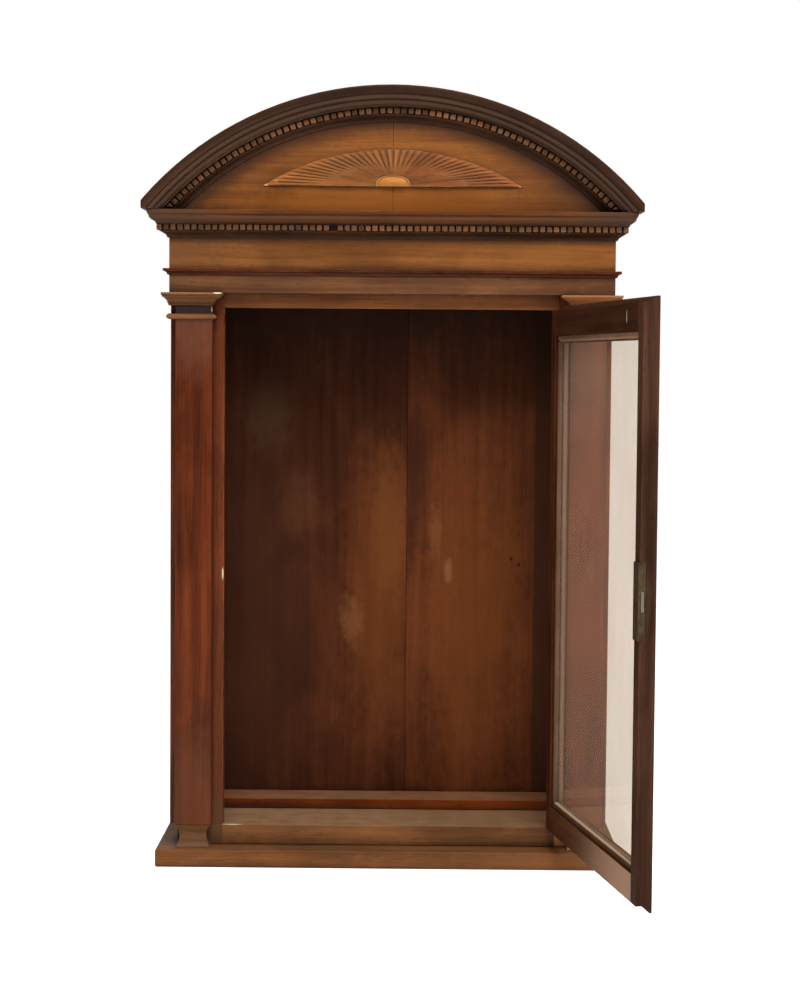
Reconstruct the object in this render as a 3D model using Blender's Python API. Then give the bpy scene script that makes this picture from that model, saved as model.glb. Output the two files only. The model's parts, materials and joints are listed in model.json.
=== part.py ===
# Display cabinet with an arched pediment, pilasters and one glazed door.
# Metres, +Z up, the front faces -Y. The origin is the middle of the plinth's underside.
import math

import bmesh
import bpy
from mathutils import Vector

# Clearances
GAP = 0.0003
MITRE_GAP = 0.0005

# Plinth and floor
PLINTH_WIDTH = 0.5245
PLINTH_DEPTH = 0.192
PLINTH_HEIGHT = 0.020
PLINTH_ROUND = 0.0022
PLINTH_REACH = 0.032
FLOOR_SET_IN = 0.0085
FLOOR_THICKNESS = 0.023
LEDGE_DEPTH = 0.054
LEDGE_HEIGHT = 0.012
LEDGE_ROUND = 0.0008

# Case and face frame
CASE_WIDTH = 0.497
SIDE_THICKNESS = 0.014
LINING_THICKNESS = 0.010
LINING_SET_BACK = 0.0125
FRAME_THICKNESS = 0.018
OPENING_HEIGHT = 0.586
CEILING_RISE = 0.006
CEILING_THICKNESS = 0.012
BACK_THICKNESS = 0.012
BACK_SEAM_X = 0.018

# Pilasters: face order from the foot to the cap
SHAFT_WIDTH = 0.041
SHAFT_DEPTH = 0.019
SHAFT_SET_IN = 0.007
STILE_REVEAL = 0.0123
SHAFT_ROUND = 0.0009
BASE_HEIGHT = 0.025
BASE_SET_BACK = 0.0008
BASE_COVE = 0.0048
BASE_COVE_FULLNESS = 0.8
BASE_COVE_STEPS = 8
ASTRAGAL_HEIGHT = 0.006
ASTRAGAL_REACH = 0.0045
ASTRAGAL_EDGE = 0.0012
ASTRAGAL_STEPS = 6
NECK_HEIGHT = 0.009
CAPITAL_HEIGHT = 0.0147
CAPITAL_REACH = 0.012
SIDE_SHARE = 0.68
RETURN_LENGTH = 0.018

# Entablature, upward from the head of the opening
HEAD_REVEAL = 0.016
ARCHITRAVE_HEIGHT = 0.0196
STRING_HEIGHT = 0.0069
STRING_REACH = 0.0063
FRIEZE_HEIGHT = 0.0345
BED_HEIGHT = 0.0074
BED_REACH = 0.009
DENTIL_HEIGHT = 0.0069
DENTIL_REACH = 0.013
DENTIL_DEPTH = 0.006
DENTIL_PITCH = 0.00777
DENTIL_WIDTH = 0.0060
CORNICE_HEIGHT = 0.0154
CORNICE_REACH = 0.0225

# Arched pediment
ARCH_RISE = 0.1370
ARCH_OVERHANG = 0.01355
CROWN_OVERHANG = 0.006
CROWN_WIDTH = 0.0228
CROWN_REACH = 0.030
ARCH_BED_WIDTH = 0.0073
ARCH_DENTIL_LIFT = 0.0035
PANEL_THICKNESS = 0.014
PANEL_SET_DOWN = 0.006
ARCH_STEPS = 40
DUST_BOARD_THICKNESS = 0.006
DUST_BOARD_REACH = 0.020
BATTEN_SIZE = 0.016
BATTEN_LENGTH = 0.360

# Carved fan on the tympanum
FAN_WIDTH = 0.293
FAN_RISE = 0.0415
FAN_FOOT = 0.028
FAN_RELIEF = 0.0042
FAN_EDGE_RELIEF = 0.00344
FAN_FLUTE_DEPTH = 0.0018
FAN_RIM = 0.0014
FAN_FLUTES = 36
# Shares of a ray's length: its rows of points, the smooth start, the fading-in and the scallop
FAN_ROWS = (0.0, 0.28, 0.60, 0.88, 1.0)
FAN_SMOOTH_SHARE = 0.12
FAN_FADE_SHARE = 0.5
FAN_SCALLOP_SHARE = 0.015
BOSS_WIDTH = 0.040
BOSS_RISE = 0.0125
BOSS_RELIEF = 0.0056
BOSS_STEPS = 16
# Power of the boss's outline: 2 is an ellipse, more is squarer
BOSS_POWER = 2.6
# Shares of the boss's relief and of its outline there
BOSS_SHAPE = ((0.0, 1.0), (0.35, 1.0), (0.70, 0.86), (0.92, 0.55), (1.0, 0.22))

# Door
DOOR_GAP = 0.0015
DOOR_INSET = 0.007
DOOR_PROUD = 0.008
DOOR_LIP = 0.0057
DOOR_EDGE = 0.006
DOOR_ROUND = 0.0012
STILE_FACE = 0.018
RAIL_FACE = 0.028
REBATE_WIDTH = 0.008
REBATE_FRONT = 0.0045
GLASS_THICKNESS = 0.0025
BEAD_WIDTH = 0.006
BEAD_DEPTH = 0.0042
BEAD_CHAMFER = 0.002
DOOR_REST_ANGLE = math.radians(100)

# Butt hinges with a cranked door leaf
PIN_SIDE = 0.0038
KNUCKLE_RADIUS = 0.003
PIN_RADIUS = 0.0013
PIN_CLEARANCE = 0.0004
HINGE_LENGTH = 0.050
HINGE_FROM_END = 0.090
LEAF_THICKNESS = 0.0012
LEAF_DEPTH = 0.012
CUT_MARGIN = 0.001
ROUND_SIDES = 16
SMOOTH_ANGLE = math.radians(38)

# Cupboard lock
LOCK_HEIGHT = 0.340
PLATE_LENGTH = 0.076
PLATE_THICKNESS = 0.0013
SELVEDGE_THICKNESS = 0.0012
CASE_LENGTH = 0.056
CASE_WALL = 0.0022
BOLT_LENGTH = 0.0125
BOLT_HEIGHT = 0.020
BOLT_THICKNESS = 0.0036
BOLT_THROW = 0.007
BOLT_FROM_INSIDE = 0.0012
ESCUTCHEON_LENGTH = 0.022
ESCUTCHEON_WIDTH = 0.011
ESCUTCHEON_THICKNESS = 0.0008
KEYHOLE_RADIUS = 0.0021
KEYHOLE_SLOT = 0.0065
KEYHOLE_SLOT_WIDTH = 0.0023
KEYHOLE_STEPS = 12
OVAL_SIDES = 24

# Moulding shapes as shares of height and of reach, from the foot up
CAPITAL_SHAPE = (
    (0, 0.10), (0.14, 0.10), (0.16, 0.20), (0.30, 0.24), (0.44, 0.36), (0.54, 0.56),
    (0.62, 0.66), (0.64, 0.86), (0.78, 0.88), (0.80, 1.0), (1.0, 1.0),
)
STRING_SHAPE = ((0, 0.30), (0.22, 0.34), (0.42, 0.52), (0.55, 0.80), (0.60, 1.0), (1.0, 1.0))
BED_SHAPE = ((0, 0.22), (0.20, 0.26), (0.42, 0.40), (0.62, 0.66), (0.78, 0.92), (1.0, 1.0))
CORNICE_SHAPE = (
    (0, 0.60), (0.12, 0.61), (0.20, 0.68), (0.30, 0.82), (0.38, 0.85), (0.40, 0.89),
    (0.56, 0.91), (0.68, 0.96), (0.74, 1.0), (1.0, 1.0),
)
CROWN_SHAPE = (
    (0, 0.54), (0.07, 0.55), (0.12, 0.61), (0.22, 0.73), (0.31, 0.76), (0.32, 0.80),
    (0.48, 0.83), (0.56, 0.89), (0.58, 0.93), (0.78, 0.98), (0.90, 1.0), (0.96, 0.99), (1.0, 0.95),
)

# Places worked out from the sizes
FRONT_Y = -PLINTH_DEPTH / 2 + PLINTH_REACH
BACK_Y = PLINTH_DEPTH / 2
FRAME_BACK_Y = FRONT_Y + FRAME_THICKNESS
BOARD_Y = FRONT_Y - SHAFT_DEPTH
BACK_BOARD_Y = BACK_Y - BACK_THICKNESS
CASE_X = CASE_WIDTH / 2
SHAFT_OUT_X = CASE_X - SHAFT_SET_IN
SHAFT_IN_X = SHAFT_OUT_X - SHAFT_WIDTH
OPENING_X = SHAFT_IN_X - STILE_REVEAL
LINING_X = OPENING_X + LINING_SET_BACK
FLOOR_Z = PLINTH_HEIGHT + FLOOR_THICKNESS
HEAD_Z = FLOOR_Z + OPENING_HEIGHT
CEILING_Z = HEAD_Z + CEILING_RISE
ARCHITRAVE_Z = HEAD_Z + HEAD_REVEAL
STRING_Z = ARCHITRAVE_Z + ARCHITRAVE_HEIGHT
FRIEZE_Z = STRING_Z + STRING_HEIGHT
BED_Z = FRIEZE_Z + FRIEZE_HEIGHT
DENTIL_Z = BED_Z + BED_HEIGHT
CORNICE_Z = DENTIL_Z + DENTIL_HEIGHT
TOP_Z = CORNICE_Z + CORNICE_HEIGHT
CAPITAL_Z = ARCHITRAVE_Z - CAPITAL_HEIGHT
ASTRAGAL_Z = CAPITAL_Z - NECK_HEIGHT - ASTRAGAL_HEIGHT
SHAFT_Z = PLINTH_HEIGHT + BASE_HEIGHT

ARCH_SPAN = CASE_X + CORNICE_REACH + ARCH_OVERHANG
CROWN_END_X = CASE_X + CORNICE_REACH + CROWN_OVERHANG
ARCH_RADIUS = (ARCH_SPAN**2 + ARCH_RISE**2) / (2 * ARCH_RISE)
ARCH_Z = TOP_Z + ARCH_RISE - ARCH_RADIUS
ARCH_DENTIL_OUT = ARCH_RADIUS - CROWN_WIDTH
ARCH_DENTIL_IN = ARCH_DENTIL_OUT - DENTIL_HEIGHT

PIN_X = OPENING_X + PIN_SIDE
PIN_Y = FRONT_Y - DOOR_PROUD
DOOR_X = OPENING_X - DOOR_GAP
DOOR_LOW_Z = FLOOR_Z + DOOR_GAP
DOOR_HIGH_Z = HEAD_Z - DOOR_GAP
GLASS_Y = -DOOR_PROUD + REBATE_FRONT

# Colours and gloss by kind of finish: red, green, blue, roughness, metallic
FINISHES = {
    "golden": ((0.227, 0.090, 0.027), 0.42, 0.0),
    "dark": ((0.062, 0.034, 0.022), 0.45, 0.0),
    "red": ((0.130, 0.038, 0.015), 0.40, 0.0),
    "inside": ((0.070, 0.026, 0.012), 0.55, 0.0),
    "dentil": ((0.240, 0.120, 0.055), 0.50, 0.0),
    "brass": ((0.200, 0.150, 0.060), 0.38, 1.0),
    "steel": ((0.420, 0.380, 0.320), 0.35, 1.0),
    "glass": ((0.900, 0.920, 0.900), 0.05, 0.0),
}


def clear_scene():
    for obj in list(bpy.data.objects):
        bpy.data.objects.remove(obj, do_unlink=True)


def finish_object(obj, finish):
    colour, roughness, metallic = FINISHES[finish]
    material = bpy.data.materials.new(obj.name)
    material.use_nodes = True
    shader = material.node_tree.nodes["Principled BSDF"]
    shader.inputs["Base Color"].default_value = (*colour, 1.0)
    shader.inputs["Roughness"].default_value = roughness
    shader.inputs["Metallic"].default_value = metallic
    if finish == "glass":
        shader.inputs["Transmission Weight"].default_value = 1.0
    obj.data.materials.clear()
    obj.data.materials.append(material)


def add_mesh(name, points, faces, finish, parent=None):
    """A closed mesh object from points and faces, with its faces turned outward."""
    mesh = bpy.data.meshes.new(name)
    mesh.from_pydata([tuple(p) for p in points], [], faces)
    work = bmesh.new()
    work.from_mesh(mesh)
    bmesh.ops.recalc_face_normals(work, faces=work.faces)
    work.to_mesh(mesh)
    work.free()
    obj = bpy.data.objects.new(name, mesh)
    bpy.context.scene.collection.objects.link(obj)
    obj.parent = parent
    finish_object(obj, finish)
    return obj


def loft(name, rings, finish, parent=None):
    """A solid through rings of points, each ring with the same number of points."""
    count = len(rings[0])
    points = [p for ring in rings for p in ring]
    faces = [tuple(range(count))]
    faces.append(tuple(range(len(points) - count, len(points))))
    for level in range(len(rings) - 1):
        low = level * count
        for i in range(count):
            j = (i + 1) % count
            faces.append((low + i, low + j, low + count + j, low + count + i))
    return add_mesh(name, points, faces, finish, parent)


def box(name, x, y, z, finish, parent=None, round_edges=0.0, round_steps=2):
    ring = [(x[0], y[0]), (x[1], y[0]), (x[1], y[1]), (x[0], y[1])]
    rings = [[(px, py, level) for px, py in ring] for level in z]
    obj = loft(name, rings, finish, parent)
    if round_edges:
        bevel = obj.modifiers.new("soft_edges", "BEVEL")
        bevel.width = round_edges
        bevel.segments = round_steps
    return obj


def stack(name, levels, plan, finish):
    """A solid whose plan outline changes with its reach: levels are (height, reach) pairs."""
    return loft(name, [[(x, y, z) for x, y in plan(reach)] for z, reach in levels], finish)


def cut(obj, cutters):
    """Cuts each cutter out of the object and keeps the cutters as hidden wires."""
    for cutter in cutters:
        cutter.hide_render = True
        cutter.display_type = "WIRE"
        modifier = obj.modifiers.new(cutter.name, "BOOLEAN")
        modifier.operation = "DIFFERENCE"
        modifier.object = cutter


def join(obj, others):
    """Unites the other solids with the object and keeps them as hidden wires."""
    for other in others:
        other.hide_render = True
        other.display_type = "WIRE"
        modifier = obj.modifiers.new(other.name, "BOOLEAN")
        modifier.operation = "UNION"
        modifier.object = other


def smooth(obj):
    obj.data.shade_smooth()
    obj.data.set_sharp_from_angle(angle=SMOOTH_ANGLE)


def cylinder(name, x, y, z, radius, finish, parent=None):
    rings = []
    for level in z:
        turn = [2 * math.pi * i / ROUND_SIDES for i in range(ROUND_SIDES)]
        rings.append([(x + radius * math.cos(a), y + radius * math.sin(a), level) for a in turn])
    obj = loft(name, rings, finish, parent)
    smooth(obj)
    return obj


# Case

def build_floor():
    box(
        "plinth_board",
        (-PLINTH_WIDTH / 2, PLINTH_WIDTH / 2),
        (-PLINTH_DEPTH / 2, PLINTH_DEPTH / 2),
        (0, PLINTH_HEIGHT),
        "golden",
        round_edges=PLINTH_ROUND,
    )
    box(
        "bottom_board",
        (-CASE_X + FLOOR_SET_IN, CASE_X - FLOOR_SET_IN),
        (FRONT_Y, BACK_Y),
        (PLINTH_HEIGHT + GAP, FLOOR_Z),
        "golden",
    )
    box(
        "rear_ledge",
        (-LINING_X + GAP, LINING_X - GAP),
        (BACK_BOARD_Y - LEDGE_DEPTH, BACK_BOARD_Y - GAP),
        (FLOOR_Z + GAP, FLOOR_Z + LEDGE_HEIGHT),
        "inside",
        round_edges=LEDGE_ROUND,
    )


def build_carcase():
    inside_x = CASE_X - SIDE_THICKNESS
    low = FLOOR_Z + GAP
    for side, sign in (("left", -1), ("right", 1)):
        outer = sorted((sign * inside_x, sign * CASE_X))
        box(f"side_panel_{side}", outer, (FRAME_BACK_Y + GAP, BACK_Y), (low, TOP_Z), "red")
        lining = sorted((sign * LINING_X, sign * (LINING_X + LINING_THICKNESS)))
        box(
            f"side_lining_{side}",
            lining,
            (FRAME_BACK_Y + GAP, BACK_BOARD_Y - GAP),
            (low, CEILING_Z - GAP),
            "inside",
        )
    box(
        "ceiling_board",
        (-inside_x + GAP, inside_x - GAP),
        (FRAME_BACK_Y + GAP, BACK_BOARD_Y - GAP),
        (CEILING_Z, CEILING_Z + CEILING_THICKNESS),
        "inside",
    )
    boards = {
        "left": (-inside_x + GAP, BACK_SEAM_X - GAP / 2),
        "right": (BACK_SEAM_X + GAP / 2, inside_x - GAP),
    }
    for side, across in boards.items():
        box(f"back_board_{side}", across, (BACK_BOARD_Y, BACK_Y), (low, TOP_Z), "inside")


def build_face_frame():
    stiles = {}
    for side, sign in (("left", -1), ("right", 1)):
        across = sorted((sign * OPENING_X, sign * CASE_X))
        stiles[side] = box(
            f"stile_{side}", across, (FRONT_Y, FRAME_BACK_Y), (FLOOR_Z + GAP, TOP_Z), "red"
        )
    box(
        "head_rail",
        (-OPENING_X + GAP, OPENING_X - GAP),
        (FRONT_Y, FRAME_BACK_Y),
        (HEAD_Z, TOP_Z),
        "red",
    )
    return stiles


def mirrored(points, sign):
    return [(sign * x, y) for x, y in points]


def astragal_plan(reach, sign):
    """Outline of a strip that goes round the shaft and returns on the case side."""
    outer_x = CASE_X + reach * SIDE_SHARE
    near = FRONT_Y - GAP
    face = BOARD_Y - GAP
    return mirrored(
        [
            (SHAFT_IN_X - GAP - reach, near),
            (SHAFT_IN_X - GAP - reach, face - reach),
            (outer_x, face - reach),
            (outer_x, FRONT_Y + RETURN_LENGTH),
            (CASE_X + GAP, FRONT_Y + RETURN_LENGTH),
            (CASE_X + GAP, near),
            (SHAFT_OUT_X + GAP, near),
            (SHAFT_OUT_X + GAP, face),
            (SHAFT_IN_X - GAP, face),
            (SHAFT_IN_X - GAP, near),
        ],
        sign,
    )


def capital_plan(reach, sign):
    outer_x = CASE_X + reach * SIDE_SHARE
    near = FRONT_Y - GAP
    return mirrored(
        [
            (SHAFT_IN_X - reach, near),
            (SHAFT_IN_X - reach, BOARD_Y - reach),
            (outer_x, BOARD_Y - reach),
            (outer_x, FRONT_Y + RETURN_LENGTH),
            (CASE_X + GAP, FRONT_Y + RETURN_LENGTH),
            (CASE_X + GAP, near),
        ],
        sign,
    )


def base_plan(set_in, sign):
    near = FRONT_Y - GAP
    face = BOARD_Y + set_in
    low = SHAFT_IN_X + set_in
    high = SHAFT_OUT_X - set_in
    return mirrored([(low, near), (low, face), (high, face), (high, near)], sign)


def astragal_levels():
    """Levels of a bead that swells to its reach at mid height."""
    levels = []
    for i in range(ASTRAGAL_STEPS + 1):
        share = i / ASTRAGAL_STEPS
        swell = (ASTRAGAL_REACH - ASTRAGAL_EDGE) * math.sin(math.pi * share)
        levels.append((ASTRAGAL_Z + ASTRAGAL_HEIGHT * share, ASTRAGAL_EDGE + swell))
    return levels


def build_pilasters():
    for side, sign in (("left", -1), ("right", 1)):
        across = sorted((sign * SHAFT_IN_X, sign * SHAFT_OUT_X))
        box(
            f"pilaster_shaft_{side}",
            across,
            (BOARD_Y, FRONT_Y - GAP),
            (SHAFT_Z + GAP, CAPITAL_Z),
            "red",
            round_edges=SHAFT_ROUND,
            round_steps=1,
        )
        cove = []
        for i in range(BASE_COVE_STEPS + 1):
            share = i / BASE_COVE_STEPS
            hollow = abs(math.sin(math.pi * share)) ** BASE_COVE_FULLNESS
            level = PLINTH_HEIGHT + GAP + (BASE_HEIGHT - GAP) * share
            cove.append((level, BASE_SET_BACK + BASE_COVE * hollow))
        stack(f"pilaster_base_{side}", cove, lambda reach: base_plan(reach, sign), "golden")
        stack(f"astragal_{side}", astragal_levels(), lambda reach: astragal_plan(reach, sign), "red")
        stack(
            f"capital_{side}",
            levels_from(CAPITAL_Z + GAP, CAPITAL_HEIGHT - 2 * GAP, CAPITAL_REACH, CAPITAL_SHAPE),
            lambda reach: capital_plan(reach, sign),
            "golden",
        )


def levels_from(start, height, reach, shape):
    return [(start + height * up, reach * out) for up, out in shape]


def front_plan(reach):
    """A front length with mitred ends, its back on the frieze face."""
    seat = BOARD_Y - GAP
    face = seat - reach
    return [(-CASE_X, seat), (-CASE_X - reach, face), (CASE_X + reach, face), (CASE_X, seat)]


def side_plan(reach, sign):
    """A return along the case side, mitred to the front length."""
    seat = CASE_X + GAP
    start = BOARD_Y + MITRE_GAP
    face = seat + reach
    return mirrored([(seat, start), (face, start - reach), (face, BACK_Y), (seat, BACK_Y)], sign)


def build_run(name, levels, finish):
    stack(f"{name}_front", levels, front_plan, finish)
    for side, sign in (("left", -1), ("right", 1)):
        stack(f"{name}_{side}", levels, lambda reach: side_plan(reach, sign), finish)


def dentil_band(name, length, place, finish):
    """A backing strip with a row of blocks. place(along, across, reach) gives a point."""
    count = round((length - DENTIL_WIDTH) / DENTIL_PITCH)
    pitch = (length - DENTIL_WIDTH) / count
    ground = DENTIL_REACH - DENTIL_DEPTH
    stations = []
    for i in range(count + 1):
        stations += [i * pitch, i * pitch + DENTIL_WIDTH]
    points = []
    faces = []

    def corner(station, across, reach):
        points.append(place(stations[station] - length / 2, across, reach))
        return len(points) - 1

    grid = {}
    for i in range(len(stations)):
        for across in (0, 1):
            for reach in (0.0, ground, DENTIL_REACH):
                grid[i, across, reach] = corner(i, across, reach)
    for i in range(len(stations) - 1):
        j = i + 1
        for across in (0, 1):
            faces.append([grid[k, across, r] for k, r in ((i, 0.0), (j, 0.0), (j, ground), (i, ground))])
        faces.append([grid[k, a, 0.0] for k, a in ((i, 0), (j, 0), (j, 1), (i, 1))])
        if i % 2:
            faces.append([grid[k, a, ground] for k, a in ((i, 0), (j, 0), (j, 1), (i, 1))])
            continue
        faces.append([grid[k, a, DENTIL_REACH] for k, a in ((i, 0), (j, 0), (j, 1), (i, 1))])
        for across in (0, 1):
            block = ((i, ground), (j, ground), (j, DENTIL_REACH), (i, DENTIL_REACH))
            faces.append([grid[k, across, r] for k, r in block])
        for k in (i, j):
            wall = ((0, ground), (1, ground), (1, DENTIL_REACH), (0, DENTIL_REACH))
            faces.append([grid[k, a, r] for a, r in wall])
    for k in (0, len(stations) - 1):
        faces.append([grid[k, a, r] for a, r in ((0, 0.0), (1, 0.0), (1, ground), (0, ground))])
    return add_mesh(name, points, faces, finish)


def build_straight_dentils():
    low = DENTIL_Z + GAP
    high = CORNICE_Z - GAP
    seat = BOARD_Y - GAP

    def front(along, across, reach):
        return along, seat - reach, high if across else low

    dentil_band("dentil_strip_front", CASE_WIDTH + 2 * DENTIL_REACH, front, "dentil")
    start = BOARD_Y + GAP
    middle = (start + BACK_Y) / 2
    for side, sign in (("left", -1), ("right", 1)):

        def flank(along, across, reach):
            return sign * (CASE_X + GAP + reach), middle + along, high if across else low

        dentil_band(f"dentil_strip_{side}", BACK_Y - start, flank, "dentil")


def build_entablature():
    board = (BOARD_Y, FRONT_Y - GAP)
    across = (-CASE_X, CASE_X)
    box("architrave_board", across, board, (ARCHITRAVE_Z, STRING_Z), "golden")
    box("frieze_board", across, board, (STRING_Z + GAP, TOP_Z), "golden")
    string = levels_from(STRING_Z, STRING_HEIGHT, STRING_REACH, STRING_SHAPE)
    build_run("string_moulding", string, "dark")
    bed = levels_from(BED_Z, BED_HEIGHT, BED_REACH, BED_SHAPE)
    build_run("bed_moulding", bed, "red")
    build_straight_dentils()
    cornice = levels_from(CORNICE_Z, CORNICE_HEIGHT, CORNICE_REACH, CORNICE_SHAPE)
    build_run("cornice", cornice, "dark")


# Pediment

def foot_angle(radius, foot_z):
    """Angle from the crown at which an arc of this radius comes down to the foot."""
    return math.acos((foot_z - ARCH_Z) / radius)


def arc_point(radius, angle, y):
    return radius * math.sin(angle), y, ARCH_Z + radius * math.cos(angle)


def arch_moulding(name, profile, finish):
    """Sweeps (radius, reach) points round the arch, cut level on the cornice."""
    foot = TOP_Z + GAP
    seat = BOARD_Y - GAP
    rings = []
    for step in range(ARCH_STEPS + 1):
        share = 2 * step / ARCH_STEPS - 1
        rings.append([arc_point(r, share * foot_angle(r, foot), seat - reach) for r, reach in profile])
    obj = loft(name, rings, finish)
    smooth(obj)
    return obj


def build_arch():
    under = ARCH_DENTIL_OUT + GAP
    crown = [(under, 0.0)] + levels_from(under, CROWN_WIDTH - GAP, CROWN_REACH, CROWN_SHAPE)
    crown.append((ARCH_RADIUS, 0.0))
    ends = []
    for side, sign in (("left", -1), ("right", 1)):
        x = sorted((sign * CROWN_END_X, sign * (ARCH_SPAN + CUT_MARGIN)))
        y = (BOARD_Y - CROWN_REACH - CUT_MARGIN, BOARD_Y)
        ends.append(box(f"crown_end_{side}", x, y, (TOP_Z, ARCH_Z + ARCH_RADIUS), "dark"))
    cut(arch_moulding("arch_cornice", crown, "dark"), ends)
    inner = ARCH_DENTIL_IN - GAP - ARCH_BED_WIDTH
    bed = [(inner, 0.0)] + levels_from(inner, ARCH_BED_WIDTH, BED_REACH, BED_SHAPE)
    bed.append((inner + ARCH_BED_WIDTH, 0.0))
    arch_moulding("arch_bed_moulding", bed, "dark")

    middle = (ARCH_DENTIL_IN + ARCH_DENTIL_OUT) / 2
    half = foot_angle(ARCH_DENTIL_IN, TOP_Z + ARCH_DENTIL_LIFT)

    def bent(along, across, reach):
        radius = ARCH_DENTIL_OUT if across else ARCH_DENTIL_IN
        return arc_point(radius, along / middle, BOARD_Y - GAP - reach)

    dentil_band("arch_dentil_band", 2 * half * middle, bent, "dentil")


def build_tympanum():
    radius = ARCH_RADIUS - PANEL_SET_DOWN
    foot = TOP_Z + GAP
    end = foot_angle(radius, foot)
    for side, sign in (("left", -1), ("right", 1)):
        seam = math.asin(GAP / 2 / radius)
        steps = ARCH_STEPS // 2
        outline = [(sign * GAP / 2, foot)]
        for step in range(steps + 1):
            x, _, z = arc_point(radius, sign * (seam + (end - seam) * step / steps), 0)
            outline.append((x, z))
        rings = [[(x, y, z) for x, z in outline] for y in (BOARD_Y, BOARD_Y + PANEL_THICKNESS)]
        loft(f"tympanum_{side}", rings, "golden")
    back = BOARD_Y + PANEL_THICKNESS + GAP
    top = TOP_Z + GAP + DUST_BOARD_THICKNESS
    reach = CASE_X + DUST_BOARD_REACH
    box("dust_board", (-reach, reach), (back, BACK_Y), (TOP_Z + GAP, top), "inside")
    box(
        "pediment_batten",
        (-BATTEN_LENGTH / 2, BATTEN_LENGTH / 2),
        (back, back + BATTEN_SIZE),
        (top + GAP, top + GAP + BATTEN_SIZE),
        "inside",
    )


def fan_reach(in_flute, share):
    """Reach of the fan's surface at a share of the way out from the boss."""
    fade = min(1.0, max(0.0, (share - FAN_SMOOTH_SHARE) / FAN_FADE_SHARE))
    drop = FAN_FLUTE_DEPTH * fade if in_flute else 0.0
    fall = (FAN_RELIEF - FAN_EDGE_RELIEF) * share
    return FAN_RELIEF - fall - drop


def boss_edge(angle, half_width, rise):
    """How far the boss's outline is from the middle of its foot at an angle."""
    across = abs(math.cos(angle) / half_width) ** BOSS_POWER
    upward = abs(math.sin(angle) / rise) ** BOSS_POWER
    return (across + upward) ** (-1 / BOSS_POWER)


def build_fan():
    """Fluted fan: rays from the boss to a scalloped segment of a circle."""
    foot = TOP_Z + FAN_FOOT
    seat = BOARD_Y - GAP
    radius = (FAN_WIDTH**2 / 4 + FAN_RISE**2) / (2 * FAN_RISE)
    sweep = math.asin(FAN_WIDTH / 2 / radius)
    columns = 2 * FAN_FLUTES
    rings = []
    for column in range(columns + 1):
        turn = sweep * (2 * column / columns - 1)
        in_flute = column % 2
        out_x = radius * math.sin(turn)
        out_z = radius * math.cos(turn) - radius + FAN_RISE
        angle = math.atan2(out_z, out_x)
        start = boss_edge(angle, BOSS_WIDTH / 2 + GAP, BOSS_RISE + GAP)
        end = math.hypot(out_x, out_z) * (1 if in_flute else 1 - FAN_SCALLOP_SHARE)
        ring = []
        for share in FAN_ROWS:
            r = start + (end - start) * share
            reach = FAN_RIM if share == 1.0 else fan_reach(in_flute, share)
            ring.append((r * math.cos(angle), seat - reach, foot + r * math.sin(angle)))
        ring.append((end * math.cos(angle), seat, foot + end * math.sin(angle)))
        ring.append((start * math.cos(angle), seat, foot + start * math.sin(angle)))
        rings.append(ring)
    loft("fan_carving", rings, "golden")

    dome = []
    for up, size in BOSS_SHAPE:
        ring = []
        for i in range(BOSS_STEPS + 1):
            turn = math.pi * i / BOSS_STEPS
            r = size * boss_edge(turn, BOSS_WIDTH / 2, BOSS_RISE)
            ring.append((r * math.cos(turn), seat - BOSS_RELIEF * up, foot + r * math.sin(turn)))
        dome.append(ring)
    smooth(loft("fan_boss", dome, "golden"))


# Door: its pieces are drawn shut, with the hinge pin as their origin

def door_ring(y, left, right, low, high):
    """A rectangle across the door at a depth from the face frame."""
    x = (left - PIN_X, right - PIN_X)
    z = (low, high)
    depth = FRONT_Y + y - PIN_Y
    return [(x[0], depth, z[0]), (x[1], depth, z[0]), (x[1], depth, z[1]), (x[0], depth, z[1])]


def door_levels():
    """Depths through the door from its inner face, each with the share of the lip there."""
    slope_end = -DOOR_PROUD + DOOR_ROUND * 2
    rim = 1 - DOOR_ROUND / DOOR_LIP / 2
    return (
        (DOOR_INSET, 0.0),
        (DOOR_INSET - DOOR_EDGE, 0.0),
        (slope_end, 1.0),
        (-DOOR_PROUD + DOOR_ROUND / 2, 1.0),
        (-DOOR_PROUD, rim),
    )


def build_door_stiles(pivot):
    """Full-height stiles with a bevelled lip and a glazing rebate along the inner edge."""
    stiles = {}
    for side, sign in (("hinge", 1), ("lock", -1)):
        inner = sign * (DOOR_X - STILE_FACE - REBATE_WIDTH)
        rings = []
        for y, lip in door_levels():
            side_lip = DOOR_LIP * lip if side == "lock" else 0.0
            left, right = sorted((sign * (DOOR_X + side_lip), inner))
            low = DOOR_LOW_Z - DOOR_LIP * lip
            high = DOOR_HIGH_Z + DOOR_LIP * lip
            rings.append(door_ring(y, left, right, low, high))
        stiles[side] = loft(f"door_stile_{side}", rings, "dark", pivot)
        across = sorted((sign * (DOOR_X - STILE_FACE), inner - sign * REBATE_WIDTH))
        deep = (GLASS_Y, DOOR_INSET + DOOR_EDGE)
        along = (DOOR_LOW_Z - 2 * DOOR_LIP, DOOR_HIGH_Z + 2 * DOOR_LIP)
        cut(stiles[side], [door_box(f"rebate_{side}", across, deep, along, "dark", pivot)])
    return stiles


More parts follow.
